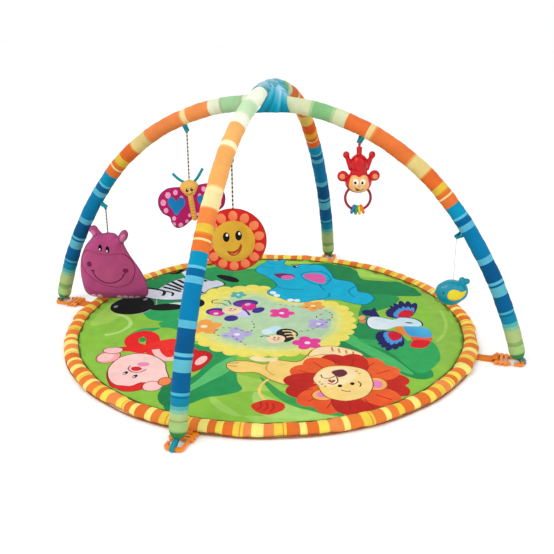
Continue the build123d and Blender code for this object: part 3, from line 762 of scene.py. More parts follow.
def grass(art):
    """Soft light patches in the green ground."""
    art.blob("A0D058", -395, 40, -340, 60, -300, 10, -330, -40, -350, -110, -385, -120)
    art.line("B4DC7C", 9, -350, -60, -318, -70, -296, -100, -300, -140, -322, -165)
    art.line("A8D868", 6, -362, -20, -330, -30, -300, -20)
    art.line("B4DC7C", 10, -190, -262, -180, -300, -184, -345)
    art.line("A8D868", 7, -166, -270, -150, -310, -150, -350)
    art.blob("A4D45C", -290, 0, -240, 24, -196, 10, -176, -22, -200, -8, -240, -6)
    art.blob("A0D060", -10, -330, 120, -400, 260, -350, 330, -250, 200, -330, 60, -390)
    art.blob("AAD870", 70, -300, 160, -330, 240, -340, 120, -375)
    art.blob("90C04C", 290, 300, 350, 200, 400, 60, 395, -110, 360, 0, 330, 160, 280, 260)
    art.line("A4D05C", 7, 346, 190, 366, 130, 372, 70, 362, 20)
    art.blob("A8D45C", -140, 400, -40, 400, 60, 405, 160, 370, 210, 345, 120, 350, 0, 395, -120, 360)
    art.blob("A4D058", 60, -300, 130, -270, 60, -250, 0, -250, -20, -330)


def leaves(art):
    leaf, bright = "1C8048", "2CA45C"
    art.blob(leaf, -395, 190, -370, 240, -300, 240, -230, 340, -180, 300, -130, 330, -60, 260, -40, 200,
             -130, 170, -210, 120, -230, 20, -290, -20, -380, 60, fade=bright)
    art.blob(bright, -300, 10, -240, 30, -210, -40, -260, -60, -300, -30)
    art.blob("38A050", -200, 330, -160, 290, -120, 300, -90, 240, -150, 200, -190, 250)
    art.blob(leaf, -30, 380, 10, 405, 60, 410, 100, 385, 130, 330, 180, 325, 230, 330, 275, 295, 290, 265,
             255, 245, 190, 230, 130, 240, 60, 290, fade="208C50")
    art.blob(leaf, 170, 230, 240, 235, 235, 180, 200, 120, 205, 60, 290, 20, 330, -60, 375, -120, 370, -150,
             330, -150, 260, -110, 150, -60, 160, 0, 180, 60, 170, 130, fade=bright)
    art.blob("4CB868", 180, 0, 230, -40, 300, -90, 340, -140, 290, -120, 220, -70, 170, -30)
    art.blob("34A85C", 200, -20, 280, -60, 350, -130, 380, -60, 350, 20, 290, 0)
    art.blob(leaf, -120, -150, -30, -160, 0, -215, 25, -270, 45, -300, 20, -330, -10, -350, -60, -410,
             -80, -330, -60, -250, -100, -200, fade=bright)
    art.blob("5CC070", -20, -170, -5, -230, -30, -300, -70, -380, -50, -290, -40, -220)
    art.blob(bright, -270, -160, -260, -110, -200, -90, -150, -120, -110, -110, -150, -50, -215, -40,
             -240, -70, -225, -100)
    art.blob(leaf, -100, -300, -60, -330, -60, -400, -95, -370)
    art.blob("3CA050", 250, -330, 200, -300, 130, -290, 60, -240, 110, -300, 170, -330)


def clearing(art):
    """The pale middle of the print, with a scalloped yellow rim."""
    edge = pairs((-205, 105, -198, 155, -138, 185, -100, 200, -50, 180, 20, 150, 60, 158, 115, 150,
                  142, 125, 162, 85, 176, 30, 172, -30, 154, -70, 130, -105, 90, -128, 40, -146, -15, -162,
                  -75, -152, -120, -130, -155, -90, -172, -45, -182, 10, -188, 55))
    art.blob("F0E468", *(0.97 * edge).ravel())
    loop = smooth_path(0.95 * edge, 6.0, True)
    art.ovals("F0E468", 19, 19, *loop[::5])
    for reach, tone in ((0, "E4E484"), (12, "D0E098"), (24, "BCDCA4")):
        art.blob(tone, -165 + reach, 100, -130 + reach, 150 - reach, -80, 165 - reach, -20, 135 - reach,
                 60, 140 - reach, 110, 130 - reach, 145 - reach, 70, 155 - reach, 0, 135 - reach, -60,
                 110 - reach, -105 + reach, 20, -135 + reach, -60, -135 + reach, -120 + reach, -100 + reach,
                 -155 + reach, -30, -165 + reach, 40, fade="B4D4B8" if reach == 24 else None)


def petals(art, colour, centre, x, y, size, count=5, turn=20):
    for k in range(count):
        heading = turn + 360 / count * k
        middle = size * 0.55 * cos(radians(heading)), size * 0.55 * sin(radians(heading))
        art.oval(colour, x + middle[0], y + middle[1], size * 0.48, size * 0.40, heading)
    art.oval(colour, x, y, size * 0.45, size * 0.45)
    art.oval(centre, x, y, size * 0.2, size * 0.2)


def flowers(art):
    petals(art, "E8409C", "F8E8F4", 5, 60, 30)
    petals(art, "E8409C", "F8E8F4", 105, -70, 32, turn=50)
    petals(art, "F4A44C", "F4F0C0", 62, 122, 28, turn=0)
    petals(art, "F4A44C", "F4F0C8", -135, -60, 40, turn=35)
    petals(art, "B8B0E0", "ECE8FC", 100, 32, 28, 4, turn=60)
    petals(art, "B8B0E0", "ECE8FC", -52, -75, 34, 4, turn=30)
    petals(art, "58B8B0", "D8F4EC", -130, 135, 20, turn=10)
    for path in ((-45, 0, -30, -25, -32, -55, -60, -50, -95, -55, -103, -80, -85, -92, -60, -85, -40, -100,
                  -15, -118), (-15, 105, 30, 108, 85, 112, 115, 90, 120, 60, 105, 20, 85, -10, 60, -25),
                 (120, 60, 95, 55, 85, 70, 95, 85)):
        art.dashes("343828", 2.2, 7, *path)


def insects(art):
    navy, violet, pink = "403090", "70308C", "D82C94"
    art.lines("26283C", 3, (-130, 65, -150, 75, -170, 70, -175, 85, -165, 92), (-125, 75, -140, 95, -150, 92))
    art.oval(navy, -95, 92, 30, 24, 20)
    art.oval(violet, -98, 90, 22, 17, 20)
    art.oval(pink, -80, 75, 18, 22, 30)
    art.oval("E8A0D8", -88, 88, 7, 9)
    art.oval(navy, -52, 62, 13, 17, -20)
    art.oval(navy, -142, 25, 24, 20, 10)
    art.oval(pink, -138, 18, 20, 14, -20)
    art.oval("F4D0EC", -138, 15, 6, 6)
    art.oval(navy, -95, 0, 16, 18)
    art.line("C8CCF0", 30, -98, 45, -75, 30, -66, 18)
    art.line(violet, 6, -90, 60, -72, 45, -62, 30)
    art.oval("F8D8B4", -110, 43, 23, 22)
    art.line("48281C", 2, -118, 44, -112, 38, -104, 42)
    art.ovals("302420", 2.4, 3, -115, 50, -105, 50)
    art.oval("C0E4F0", 16, -28, 15, 20, -20)
    art.oval("D4ECF4", 4, -40, 12, 14, 40)
    art.blob("282420", 30, -20, 52, -14, 72, -30, 74, -55, 60, -80, 40, -60, 25, -40)
    for k in range(3):
        art.line("F0D89C", 5, 36 + 9 * k, -28 - 14 * k, 54 + 7 * k, -24 - 12 * k, 70 + 3 * k, -38 - 12 * k)
    art.oval("F8D8B4", 35, -70, 20, 20)
    art.line("48281C", 2, 28, -70, 35, -76, 42, -70)
    art.ovals("302420", 2.2, 3, 30, -64, 39, -64)
    art.line("282420", 3.4, 18, -60, 4, -62, 0, -70)


def elephant(art):
    blue, shade = "04AED2", "0484AC"
    art.blob(blue, -138, 395, -112, 412, -96, 398, -92, 370, -72, 358, -50, 378, -20, 388, 5, 388, 28, 365,
             48, 335, 66, 305, 108, 296, 128, 272, 142, 238, 165, 238, 184, 215, 186, 190, 172, 166, 140, 168,
             100, 178, 62, 160, 35, 138, 5, 134, -30, 150, -58, 158, -68, 178, -58, 214, -74, 244, -108, 272,
             -142, 298, -150, 335, -140, 365, fade="0CB4DC", edge="085C78")
    art.lines(shade, 4, (60, 300, 40, 275, 42, 250, 60, 230), (-60, 215, -30, 205, 10, 215),
              (128, 268, 118, 240, 130, 215, 142, 200), (60, 162, 80, 190, 75, 215))
    art.lines(shade, 3, (-140, 370, -120, 362, -96, 368), (-146, 340, -125, 334, -105, 340))
    art.blob("E060A8", -18, 312, 5, 328, 30, 322, 46, 295, 44, 268, 20, 276, -8, 290)
    art.line(shade, 4, -22, 300, -10, 335, 25, 340, 55, 305, 52, 262, 30, 258, closed=True)
    art.blob("782868", -92, 292, -70, 302, -42, 300, -34, 280, -50, 266, -75, 272)
    art.oval("E068AC", -52, 280, 17, 14, 20)
    art.oval("182038", -56, 362, 8, 9)
    art.oval("F0F8FC", -54, 365, 3, 3)
    art.line("182038", 3, -72, 372, -60, 382, -44, 380)
    art.ovals("E4F4F8", 8, 10, -54, 172, -40, 160, 0, 142, 16, 143, turn=20)


def zebra(art):
    white, black = "DCE0EC", "08080C"
    body = (-345, 54, -362, 84, -352, 104, -334, 104, -326, 140, -318, 172, -306, 200, -278, 216, -250, 208,
            -222, 198, -212, 210, -184, 188, -207, 150, -213, 104, -247, 63, -292, 46)
    art.rimmed(black, white, body, 0.965, "CCD0E0")
    art.lines(black, 9, (-324, 124, -298, 118, -270, 110), (-323, 143, -300, 136, -274, 124),
              (-319, 163, -300, 152, -272, 138), (-311, 182, -290, 168, -262, 158),
              (-300, 202, -276, 186, -250, 178), (-278, 214, -256, 200, -236, 192),
              (-232, 62, -246, 82, -252, 104), (-214, 118, -232, 126, -248, 128))
    art.line(black, 8, -366, 110, -335, 107, -312, 101, -303, 88, -299, 70)
    art.line(black, 6, -306, 100, -288, 96, -280, 88, -277, 75)
    art.line(white, 14, -276, 6, -258, 30, -236, 44)
    art.line(white, 24, -290, 215, -320, 245)
    art.oval(black, -342, -2, 50, 54, 0)
    art.line("A8A8B0", 2.5, -304, 46, -290, 14, -296, -26, -314, -50)
    art.ovals("8C8C98", 5, 7, -330, 40, -376, -20)
    art.oval(black, -262, 12, 42, 20, 18)
    art.oval(black, -204, 58, 18, 26, 20)
    art.oval(black, -194, 228, 38, 15, -24)
    art.oval(black, -338, 236, 26, 13, 60)


def wing(art, x, y, start, stop, reaches):
    """A fan of feathers in three colours from the shoulder at (x, y)."""
    for share, colour, wide in ((1.0, "242060", 10), (0.66, "4498DC", 6.5), (0.46, "D01C34", 6)):
        for k in range(10):
            turn = start + (stop - start) * k / 9
            half = 0.5 * share * np.interp(k / 9, (0, 0.45, 0.8, 1), reaches)
            art.oval(colour, x + half * cos(radians(turn)), y + half * sin(radians(turn)), half, wide, turn)


def toucan(art):
    navy = "242060"
    art.blob(navy, 176, 128, 184, 112, 204, 104, 222, 108, 214, 124, 206, 142, 200, 158, 194, 140, 184, 140)
    art.oval("F0A868", 184, 94, 8, 12)
    art.oval("C88850", 190, 76, 8, 10)
    wing(art, 284, 126, 188, 90, (50, 66, 98, 90))
    wing(art, 277, 36, 197, 286, (46, 62, 92, 66))
    body = (196, 98, 215, 108, 252, 104, 266, 122, 290, 126, 312, 116, 322, 90, 296, 78, 270, 70, 252, 46,
            222, 42, 202, 62)
    art.rimmed(navy, "E8F0F8", body, 0.95, "C4E4EC", shift=(0, -1))
    art.blob("F08838", 272, 70, 266, 52, 284, 32, 304, 26, 310, 40, 296, 66)
    art.blob("E86040", 308, 34, 348, 40, 350, 18, 316, 6)
    art.blob("E01828", 316, 12, 348, 20, 346, -10, 334, -24, 314, -22)
    art.blob("2C98D4", 284, 74, 326, 82, 344, 62, 347, 38, 320, 30, 302, 30, 290, 50, fade="58BCE8")
    art.oval("181820", 290, 98, 9, 3.4, 6)


def lion(art):
    gold, cream, dark = "F4D070", "FCE4B0", "5C3024"
    art.line(gold, 6, 82, -235, 74, -270, 80, -300, 100, -322)
    art.blob("D83820", 80, -345, 95, -322, 115, -316, 138, -326, 142, -348, 122, -368, 98, -366)
    for k in range(3):
        art.line("B82820", 4, 92 + 12 * k, -328, 100 + 12 * k, -345, 96 + 12 * k, -358)
    art.blob(gold, 128, -95, 122, -135, 110, -160, 60, -165, 55, -190, 10, -188, -18, -200, -16, -222, 10,
             -236, 48, -226, 85, -246, 125, -250, 160, -200, 165, -120, fade="FCDC88", edge="8C5C28")
    art.blob(cream, 128, -92, 150, -70, 185, -70, 222, -84, 226, -98, 190, -106, 150, -112, 126, -130,
             edge="A87840")
    for k in range(4):
        art.line("D88850", 4, 158 + 16 * k, -72 - 3 * k, 166 + 15 * k, -92 - 2 * k)
    art.blob(cream, 12, -172, 22, -158, 48, -160, 64, -150, 70, -166, 50, -178, 28, -182)
    art.lines("B87848", 3, (-18, -206, 0, -198), (-16, -216, 2, -214))
    art.line("D8A850", 3, 58, -190, 62, -210, 84, -226)
    nose = np.array((225, -212))
    mane = [112 * np.array((cos(radians(a)), sin(radians(a)))) for a in range(0, 360, 24)]
    for k, lock in enumerate(mane):
        tone, glow = (("B42020", "D03020"), ("E85028", "F06830"))[k // 2 % 2]
        art.oval(tone, *(nose + lock * 0.62), 52, 34, 24 * k, fade=glow)
    for lock in mane:
        art.line("A82018", 2, *(nose + lock * 0.62), *(nose + lock * 0.92))
    art.oval("F4B060", 280, -200, 20, 24, 20, edge="A04820")
    art.oval("E884BC", 280, -200, 12, 15, 20)
    art.oval("F4B060", 196, -268, 22, 20, 20, edge="A04820")
    art.oval("E884BC", 195, -266, 14, 12, 20)
    art.blob(gold, 160, -205, 170, -165, 205, -145, 245, -150, 265, -180, 275, -215, 268, -255, 240, -280,
             205, -275, 180, -245, fade="FCE09C", edge="A04820")
    art.blob(cream, 160, -215, 172, -172, 205, -150, 232, -165, 235, -195, 215, -225, 185, -240)
    art.blob("6C3038", 186, -178, 205, -160, 218, -176, 206, -196)
    art.lines(dark, 2.5, (198, -192, 190, -206, 176, -208, 170, -196),
              (200, -194, 208, -212, 204, -226, 192, -226))
    art.line("A8384C", 6, 190, -212, 198, -220, 200, -210)
    art.ovals("C89048", 2.6, 2.6, 175, -225, 182, -232, 190, -238, 168, -232, 176, -240, 232, -160, 240, -168)
    art.ovals("201410", 4.5, 5.5, 236, -212, 216, -228)
    art.lines(dark, 2.5, (244, -200, 252, -208, 252, -218), (222, -242, 232, -244, 240, -240))


def red_monkey(art):
    red, deep, pink, rim = "E82424", "B81820", "FCC8C4", "8C2828"
    art.line(red, 30, -200, -200, -240, -190, -258, -160, -245, -132, -222, -140, -205, -170, -190, -200)
    art.oval("2C9850", -234, -160, 8, 12, 20)
    art.blob(red, -215, -180, -195, -150, -170, -135, -152, -150, -140, -190, -150, -225, -200, -215,
             fade="F03830")
    art.line(pink, 16, -186, -195, -172, -212, -150, -225, -132, -218)
    art.line(red, 26, -150, -200, -130, -175, -105, -185)
    art.blob(red, -110, -185, -85, -172, -66, -182, -60, -215, -64, -250, -80, -262, -96, -240, -104, -212,
             fade=deep, edge=rim)
    art.oval(pink, -76, -212, 10, 22, 0)
    art.line(red, 24, -200, -212, -240, -210, -270, -225)
    art.blob(red, -232, -300, -222, -330, -200, -355, -165, -370, -140, -358, -128, -330, -180, -320,
             edge=rim)
    art.blob(pink, -238, -250, -215, -226, -180, -222, -145, -240, -128, -268, -108, -300, -118, -325, -150,
             -330, -165, -350, -205, -345, -232, -310, -240, -280, fade="FCD8D0", edge=rim)
    art.oval("F4A8A8", -262, -256, 21, 27, -10, edge=rim)
    art.oval(pink, -266, -258, 14, 19, -10)
    art.oval(pink, -268, -226, 20, 15, 20, edge=rim)
    art.oval(pink, -122, -338, 18, 20, 30, edge=rim)
    art.oval("F08850", -108, -312, 12, 16, 10, edge=rim)
    art.oval("EC8CB8", -180, -262, 13, 10, 10)
    art.blob("D82838", -196, -280, -184, -274, -172, -282, -178, -292, -190, -292)
    art.line("8C2430", 2.5, -202, -274, -200, -288, -186, -298, -170, -294, -164, -280)
    for x, y in ((-196, -306), (-172, -312)):
        art.oval("181418", x, y, 4.6, 7.4)
        art.oval("FFFFFF", x - 1, y - 2.4, 1.8, 2.4)


def jungle():
    """The mat's printed jungle, drawn from the back shapes to the front ones."""
    art = Art("8CC444", step=8.0)
    for draw in (grass, leaves, clearing, flowers, insects, elephant, zebra, toucan, lion, red_monkey):
        draw(art)
    return art


def puckered(points):
    """Height of the mat's upper cloth: gentle swells, with gathers where it meets the border."""
    x, y = points.T
    radius, turn = np.hypot(x, y), np.arctan2(y, x)
    swell = 0.9 * np.sin(x / 47 + 1.3) * np.sin(y / 53 + 0.4) + 0.6 * np.sin(x / 21 + y / 29)
    swell += 0.5 * np.sin(x / 33 - y / 17 + 2)
    near = np.exp(-(PANEL_RADIUS - radius) / 26)
    gathers = near * (1.6 * np.sin(46 * turn) + 1.0 * np.sin(83 * turn + 1) + 0.8 * np.sin(29 * turn + 2))
    return FLOOR_TOP + swell + gathers - 1.8 * np.exp(-(PANEL_RADIUS - radius) / 8)


def walled(name, faces, tints, top, lower, wall, under, away=False):
    """A solid from a patch: its top, a wall down from its edge to the points lower gives, and a bottom."""
    edge = rim_of(faces)
    count, along_edge = len(top), len(edge)
    verts = [*top, *(lower(i) for i in edge)]
    every = [tuple(f) for f in faces]
    for k in range(along_edge):
        after = (k + 1) % along_edge
        every.append((edge[k], count + k, count + after, edge[after]))
    every.append(tuple(range(count + along_edge - 1, count - 1, -1)))
    if away:
        every = [f[::-1] for f in every]
        tints = tints[:, ::-1]
    corners = [*tints.reshape(-1, 3)] + [wall] * (4 * along_edge) + [under] * along_edge
    return make(name, verts, every, corners)


def mat_pad():
    """The padded floor: printed cloth above, plain cloth below, closed at the border."""
    turns = full_turn(300)
    outline = PANEL_RADIUS * np.stack([np.cos(turns), np.sin(turns)], 1)
    flat, faces, tints = cut_out(outline, jungle(), 11.0)
    made = walled("printed_floor_pad", faces, tints, np.column_stack([flat, puckered(flat)]),
                  lambda i: (*(flat[i] * 1.008), 0.6), rgb("70B038"), rgb("E4E4D8"))
    return dress(made, printed_mat, "mat", ("mat_top_panel", "mat_batting", "mat_backing"))


# The border's two kinds of stripe: least and most width, and the shades of its colour
ORANGE_STRIPE = (13, 26, ("EE8034", "F4904A", "E8742C"))
YELLOW_STRIPE = (10, 22, ("F8E258", "FAEC80", "F2D248"))
# The border's section: how far its middle is from the mat's middle and the floor, and its half sizes
BORDER_MIDDLE, BORDER_RAISED = 432, 11.0
BORDER_WIDE, BORDER_HIGH = 15.8, 10.0
# The thin cords along the border: name, radius of the loop, height and colour
EDGE_CORDS = (("inner_piping", PANEL_RADIUS + 0.6, FLOOR_TOP, "566420"), ("outer_hem", 446.0, 3.4, "A85A20"))


def border_stripes():
    """Where each stripe of the border ends, in millimetres round it, and the stripes' colours."""
    edges, kinds = [0.0], []
    orange = True
    while edges[-1] < 2 * pi * (BORDER_MIDDLE + 1) - 14:
        least, most, shades = ORANGE_STRIPE if orange else YELLOW_STRIPE
        wide = random.uniform(least, most)
        kinds.append(shades[random.integers(3)])
        edges.append(edges[-1] + wide)
        if not orange and wide > 17 and random.random() < 0.6:
            edges[-1] -= 7
            kinds += ["F09040", kinds[-1]]
            edges += [edges[-1] + 2.5, edges[-1] + 7]
        orange = not orange
    return edges, kinds


def border():
    """The striped, stuffed roll round the mat, with its piping and hem."""
    edges, kinds = border_stripes()
    stops, tones = [], []
    for first, last, kind in zip(edges, edges[1:], kinds):
        parts = max(1, int((last - first) / 5))
        stops += list(first + (last - first) * np.arange(parts) / parts)
        tones += [kind] * parts
    phases = random.uniform(0, 2 * pi, 8)
    t = full_turn(28)
    rings = []
    for turn in 2 * pi * np.array(stops) / edges[-1]:
        swell = sum(high * sin(count * turn + phase)
                    for high, count, phase in zip((0.5, 0.4, 0.5), (31, 57, 97), phases))
        shift = 0.9 * sin(23 * turn + phases[3]) + 0.6 * sin(41 * turn + phases[4])
        bulge = 1.7 * sin(9 * turn + phases[6]) + 1.3 * sin(15 * turn + phases[7]) + 0.8 * sin(27 * turn)
        crease = 0.5 * np.sin(150 * turn + phases[5] + 2 * t) * np.maximum(0.0, -np.cos(t)) ** 2
        across = BORDER_WIDE + swell + crease + bulge * np.maximum(np.cos(t), 0)
        high = BORDER_HIGH + 0.8 * swell + crease + 0.3 * bulge
        reach = BORDER_MIDDLE + shift + across * np.cos(t) * (1 - 0.12 * np.maximum(np.sin(t), 0))
        height = np.maximum(BORDER_RAISED + high * np.sin(t), 0.4)
        rings.append(np.stack([reach * cos(turn), reach * sin(turn), height], 1))
    tints = np.repeat([rgb(tone) for tone in tones], len(t), axis=0)
    made = make("striped_border", *skin(rings, closed=True), tints)
    dress(made, painted_cloth, "mat", ("border_roll", "border_filling"))
    turns = full_turn(480)
    for name, radius, height, code in EDGE_CORDS:
        wobble = radius + 0.6 * np.sin(23 * turns + phases[3])
        path = np.stack([wobble * np.cos(turns), wobble * np.sin(turns), np.full(len(turns), height)], 1)
        dress(round_tube(name, path, 1.2, 8, code), painted_cloth, "mat")


mat_pad()
border()


# ---- toys -------------------------------------------------
TOY_TURN = radians(18)
ACROSS = np.array((cos(TOY_TURN), sin(TOY_TURN), 0.0))
TOWARD = np.array((sin(TOY_TURN), -cos(TOY_TURN), 0.0))
TOYS = ("sun", "butterfly", "hippo", "monkey", "bird")
HANG = {toy: np.array(joints[f"{toy}_swing"]["pos_m"]) / MM for toy in TOYS}


def on_toy(toy, u, z, w=0.0):
    """The point u across, z up and w toward the front from where the toy hangs."""
    return HANG[toy] + ACROSS * u + UP * z + TOWARD * w


def turned(points, angle, pivot=(0, 0)):
    """Points on the toy's plane, turned about a pivot, in degrees."""
    c, s = cos(radians(angle)), sin(radians(angle))
    return (pairs(np.asarray(points, float)) - pivot) @ np.array(((c, s), (-s, c))) + pivot


def plush(toy, name, outline, art, thick, round_off, slot, stands_for=(), base=0.0, grid=3.0, back=None,
          seam=None):
    """A stuffed flat shape: both faces swell from its outline. seam is its cord's name, radius and colour."""
    flat, faces, tints = cut_out(outline, art, grid)
    away = distance_to(flat, np.asarray(outline, float))
    share = np.clip(away / round_off, 0, 1)
    swell = thick / 2 * np.sqrt(1 - (1 - share) ** 2)
    angle = np.arctan2(flat[:, 1] - flat[:, 1].mean(), flat[:, 0] - flat[:, 0].mean())
    soft = 0.5 * np.sin(flat[:, 0] / 7 + 1) * np.sin(flat[:, 1] / 9) * share
    soft = soft + 0.5 * np.sin(34 * angle) * share * np.exp(-away / 5)
    verts = [on_toy(toy, u, z, base + s + q) for (u, z), s, q in zip(flat, swell, soft)]
    rear = {i: i for i in rim_of(faces)}
    for i, ((u, z), s, q) in enumerate(zip(flat, swell, soft)):
        if i not in rear:
            rear[i] = len(verts)
            verts.append(on_toy(toy, u, z, base - s - q * 0.7))
    behind = np.tile(rgb(back) if back else art.ground, (3 * len(faces), 1))
    both = [tuple(f) for f in faces] + [tuple(rear[i] for i in f[::-1]) for f in faces]
    made = make(name, verts, both, np.vstack([tints.reshape(-1, 3), behind]))
    dress(made, plush_cloth, toy, stands_for)
    if seam:
        sew(toy, outline, slot, *seam)


def sew(toy, outline, slot, name, wire, code):
    """The sewn edge that shows as a thin cord round a stuffed shape, without the outline's sharp spikes."""
    outline = np.asarray(outline, float)
    spikes = np.linalg.norm(along(outline, closed=True), axis=1) < 0.01
    path = [on_toy(toy, u, z) for u, z in outline[~(spikes | np.roll(spikes, 1))]]
    dress(round_tube(name, path, wire, 6, code), plush_cloth, toy)


def round_outline(x, y, radius, step=3.0):
    a = full_turn(int(2 * pi * radius / step))
    return np.stack([x + radius * np.cos(a), y + radius * np.sin(a)], 1)


def eye(art, x, y, size):
    glint = size * 0.35
    art.oval("14100C", x, y, size, size * 1.5)
    art.oval("FFFFFF", x + size * 0.25, y + size * 0.6, glint, glint * 1.3)


SUN_RADIUS = 61
SUN_FACE_RADIUS = 44.5
PETALS = 14


def sun():
    middle = -155.0
    petal_ring = Art("D42420", 3.0)
    for t in 2 * pi * (np.arange(PETALS) + 0.5) / PETALS:
        x, y = 49 * cos(t), middle + 49 * sin(t)
        petal_ring.oval("F07848", x, y, 9.5, 8.4, np.degrees(t), fade="F89060")
    plush("sun", "sun_petal_disc", round_outline(0, middle, SUN_RADIUS), petal_ring, 15.0, 11.0,
          "red_plush", ("sun_ring",), back="D42420", seam=("sun_outer_seam", 0.9, "B01818"))
    face = Art("DCAC38", 2.5)
    face.put(round_outline(-6, middle + 6, 36), "E0B440", "D8A430")
    eye(face, -13, middle + 10, 6.3)
    eye(face, 10, middle + 13, 6.3)
    face.blob("B04820", -12, middle - 17, -2, middle - 18, 8, middle - 13, 14, middle - 3, 16, middle - 10,
              11, middle - 21, 2, middle - 27, -7, middle - 25)
    face.blob("D87848", -6, middle - 22, 2, middle - 22, 8, middle - 18, 4, middle - 25)
    plush("sun", "sun_face_cushion", round_outline(0, middle, SUN_FACE_RADIUS), face, 25.0, 20.0,
          "yellow_plush", ("sun_face",), back="DCAC38")
    sew("sun", round_outline(0, middle, SUN_FACE_RADIUS + 0.3), "yellow_plush", "sun_face_seam", 0.1,
        "B88820")


WING = (-12, 4, -33, 6, -51, 4, -67, -8, -73, -27, -67, -47, -53, -58, -51, -72, -42, -84, -26, -82, -11, -72,
        0, -64)
WING_DOTS = (
    (-48, -8, 6), (-31, -4, 5), (-61, -23, 6), (-20, -17, 4), (-58, -41, 5), (-44, -61, 4.5), (-46, -74, 4),
    (-32, -78, 5), (-17, -71, 4), (-9, -58, 3.5),
)
HEART = ((0, 12), (8, 21), (18, 17), (19, 4), (10, -9), (0, -22), (-10, -9), (-19, 4), (-18, 17), (-8, 21))
TRUNK = ((-7, -10), (-7, -60), (-5, -70), (0, -73), (5, -70), (7, -60), (7, -10), (0, -4))
BUTTERFLY_HEAD = ((-20, 2), (-17, 12), (-7, 18), (7, 18), (17, 12), (20, 2), (14, -10), (5, -18), (-5, -18),
                  (-14, -10))


def butterfly():
    head = np.array((0.0, -126.0))

    def lean(points):
        return turned(points, 7.0, head)

    def shape(points):
        return lean(smooth_path(np.array(points, float) + head, 2.5, True))

    left = pairs(WING) + head
    outline = lean(smooth_path(np.vstack([left, (left * (-1, 1))[::-1]]), 3.0, True))
    art = Art("B41C64", 2.5)
    for side in (-1, 1):
        for x, y, size in WING_DOTS:
            art.oval("F0A0C8", -side * x, head[1] + y, size, size * 1.2, 20 * side)
        heart = turned(np.array(HEART) * 0.95, 10 * side) + (side * 34, head[1] - 34)
        art.put(smooth_path(heart, 2.5, True), "1C88CC", "1474B4")
    art.move(lean)
    plush("butterfly", "butterfly_wing_cushion", outline, art, 13.0, 9.0, "magenta_plush",
          ("butterfly_wings",), base=-1.0, seam=("butterfly_wing_seam", 0.8, "881048"))
    trunk = Art("E8AC50", 2.5)
    for k in range(7):
        trunk.line("C88430", 1.4, -8, head[1] - 26 - 7 * k, 8, head[1] - 26 - 7 * k)
    trunk.move(lean)
    plush("butterfly", "butterfly_trunk", shape(TRUNK), trunk, 19.0, 7.0, "yellow_plush",
          ("butterfly_body",), grid=2.5)
    face = Art("F0B85C", 2.0)
    eye(face, -4, head[1] - 1, 3.0)
    eye(face, 6, head[1] + 1, 3.0)
    face.line("3C2010", 1.2, *(pairs((-6, -8, -1, -11, 4, -9, 7, -5)) + head).ravel())
    plush("butterfly", "butterfly_head", shape(BUTTERFLY_HEAD), face, 24.0, 13.0, "yellow_plush", grid=2.5)
    for side, (x, y) in ((-1, (-35, 33)), (1, (30, 44))):
        points = [on_toy("butterfly", side * 9, head[1] + 13),
                  on_toy("butterfly", (side * 9 + x) / 2, head[1] + 4 + y / 2, 1),
                  on_toy("butterfly", x, head[1] + y)]
        made = ribbon(f"butterfly_antenna_{side_word(side)}", points,
                      np.cross(points[2] - points[0], TOWARD), 6.0, 1.4)
        dress(made, webbing, "butterfly")


def settled(points):
    """The hippo's drawing, leaning a little toward its leg of the gym lower down."""
    x, y = pairs(np.array(points, float)).T
    lean = 7 * np.clip((-y - 60) / 60, 0, 1)
    return np.column_stack([x - lean, (y + 60) * 1.03 - 60])


def hippo():
    outline = settled(smooth_path(pairs((
        -34, -70, -42, -56, -37, -47, -27, -46, -20, -56, -12, -64, 0, -62, 16, -64, 24, -70, 31, -60, 40,
        -56, 46, -64, 44, -76, 37, -86, 44, -102, 58, -124, 74, -150, 85, -176, 90, -198, 86, -213, 66, -218,
        30, -219, -24, -216, -46, -211, -57, -200, -62, -175, -63, -146, -58, -117, -49, -92,
    )), 3.0, True))
    art = Art("B44A80", 3.0)
    art.blob("CC70A0", -37, -66, -38, -56, -30, -52, -26, -62)
    art.blob("D47CA8", 31, -76, 32, -66, 40, -62, 42, -72, 36, -82)
    art.lines("7C2C5C", 1.4, (-34, -70, -26, -66, -22, -60), (24, -70, 30, -78, 36, -86))
    art.blob("A84478", -60, -178, -20, -196, 40, -200, 86, -190, 88, -210, 66, -217, 0, -217, -50, -208)
    for x in (-36, -22, 24, 38, 52, 66):
        art.oval("E4B4CC", x, -212 - 0.05 * x, 6.6, 7)
    muzzle = (-57, -121, -52, -104, -40, -98, -15, -106, 5, -108, 30, -106, 46, -112, 60, -128, 66, -148,
              58, -170, 42, -182, 18, -186, -12, -178, -38, -160, -54, -140)
    art.rimmed("5C1438", "BC5484", muzzle, 0.975, "B04878")
    art.oval("782050", -38, -130, 6, 6.5)
    art.oval("782050", 44, -146, 7, 5.5)
    art.line("5C1438", 2.0, -36, -146, -30, -144, -28, -148)
    art.line("5C1438", 2.4, -32, -145, -24, -162, -6, -174, 14, -175, 32, -166, 40, -156)
    art.line("5C1438", 2.0, 36, -158, 41, -155, 43, -149)
    for x, y in ((-13, -92), (4, -96)):
        art.oval("080408", x, y, 4.4, 8.2, 8)
        art.oval("F4ECF0", x - 1.0, y - 3.4, 1.7, 2.6, 8)
    art.move(settled)
    plush("hippo", "hippo_cushion", outline, art, 34.0, 26.0, "pink_plush", ("hippo_body", "hippo_muzzle"),
          back="A84478", seam=("hippo_outer_seam", 0.9, "7C2C5C"))


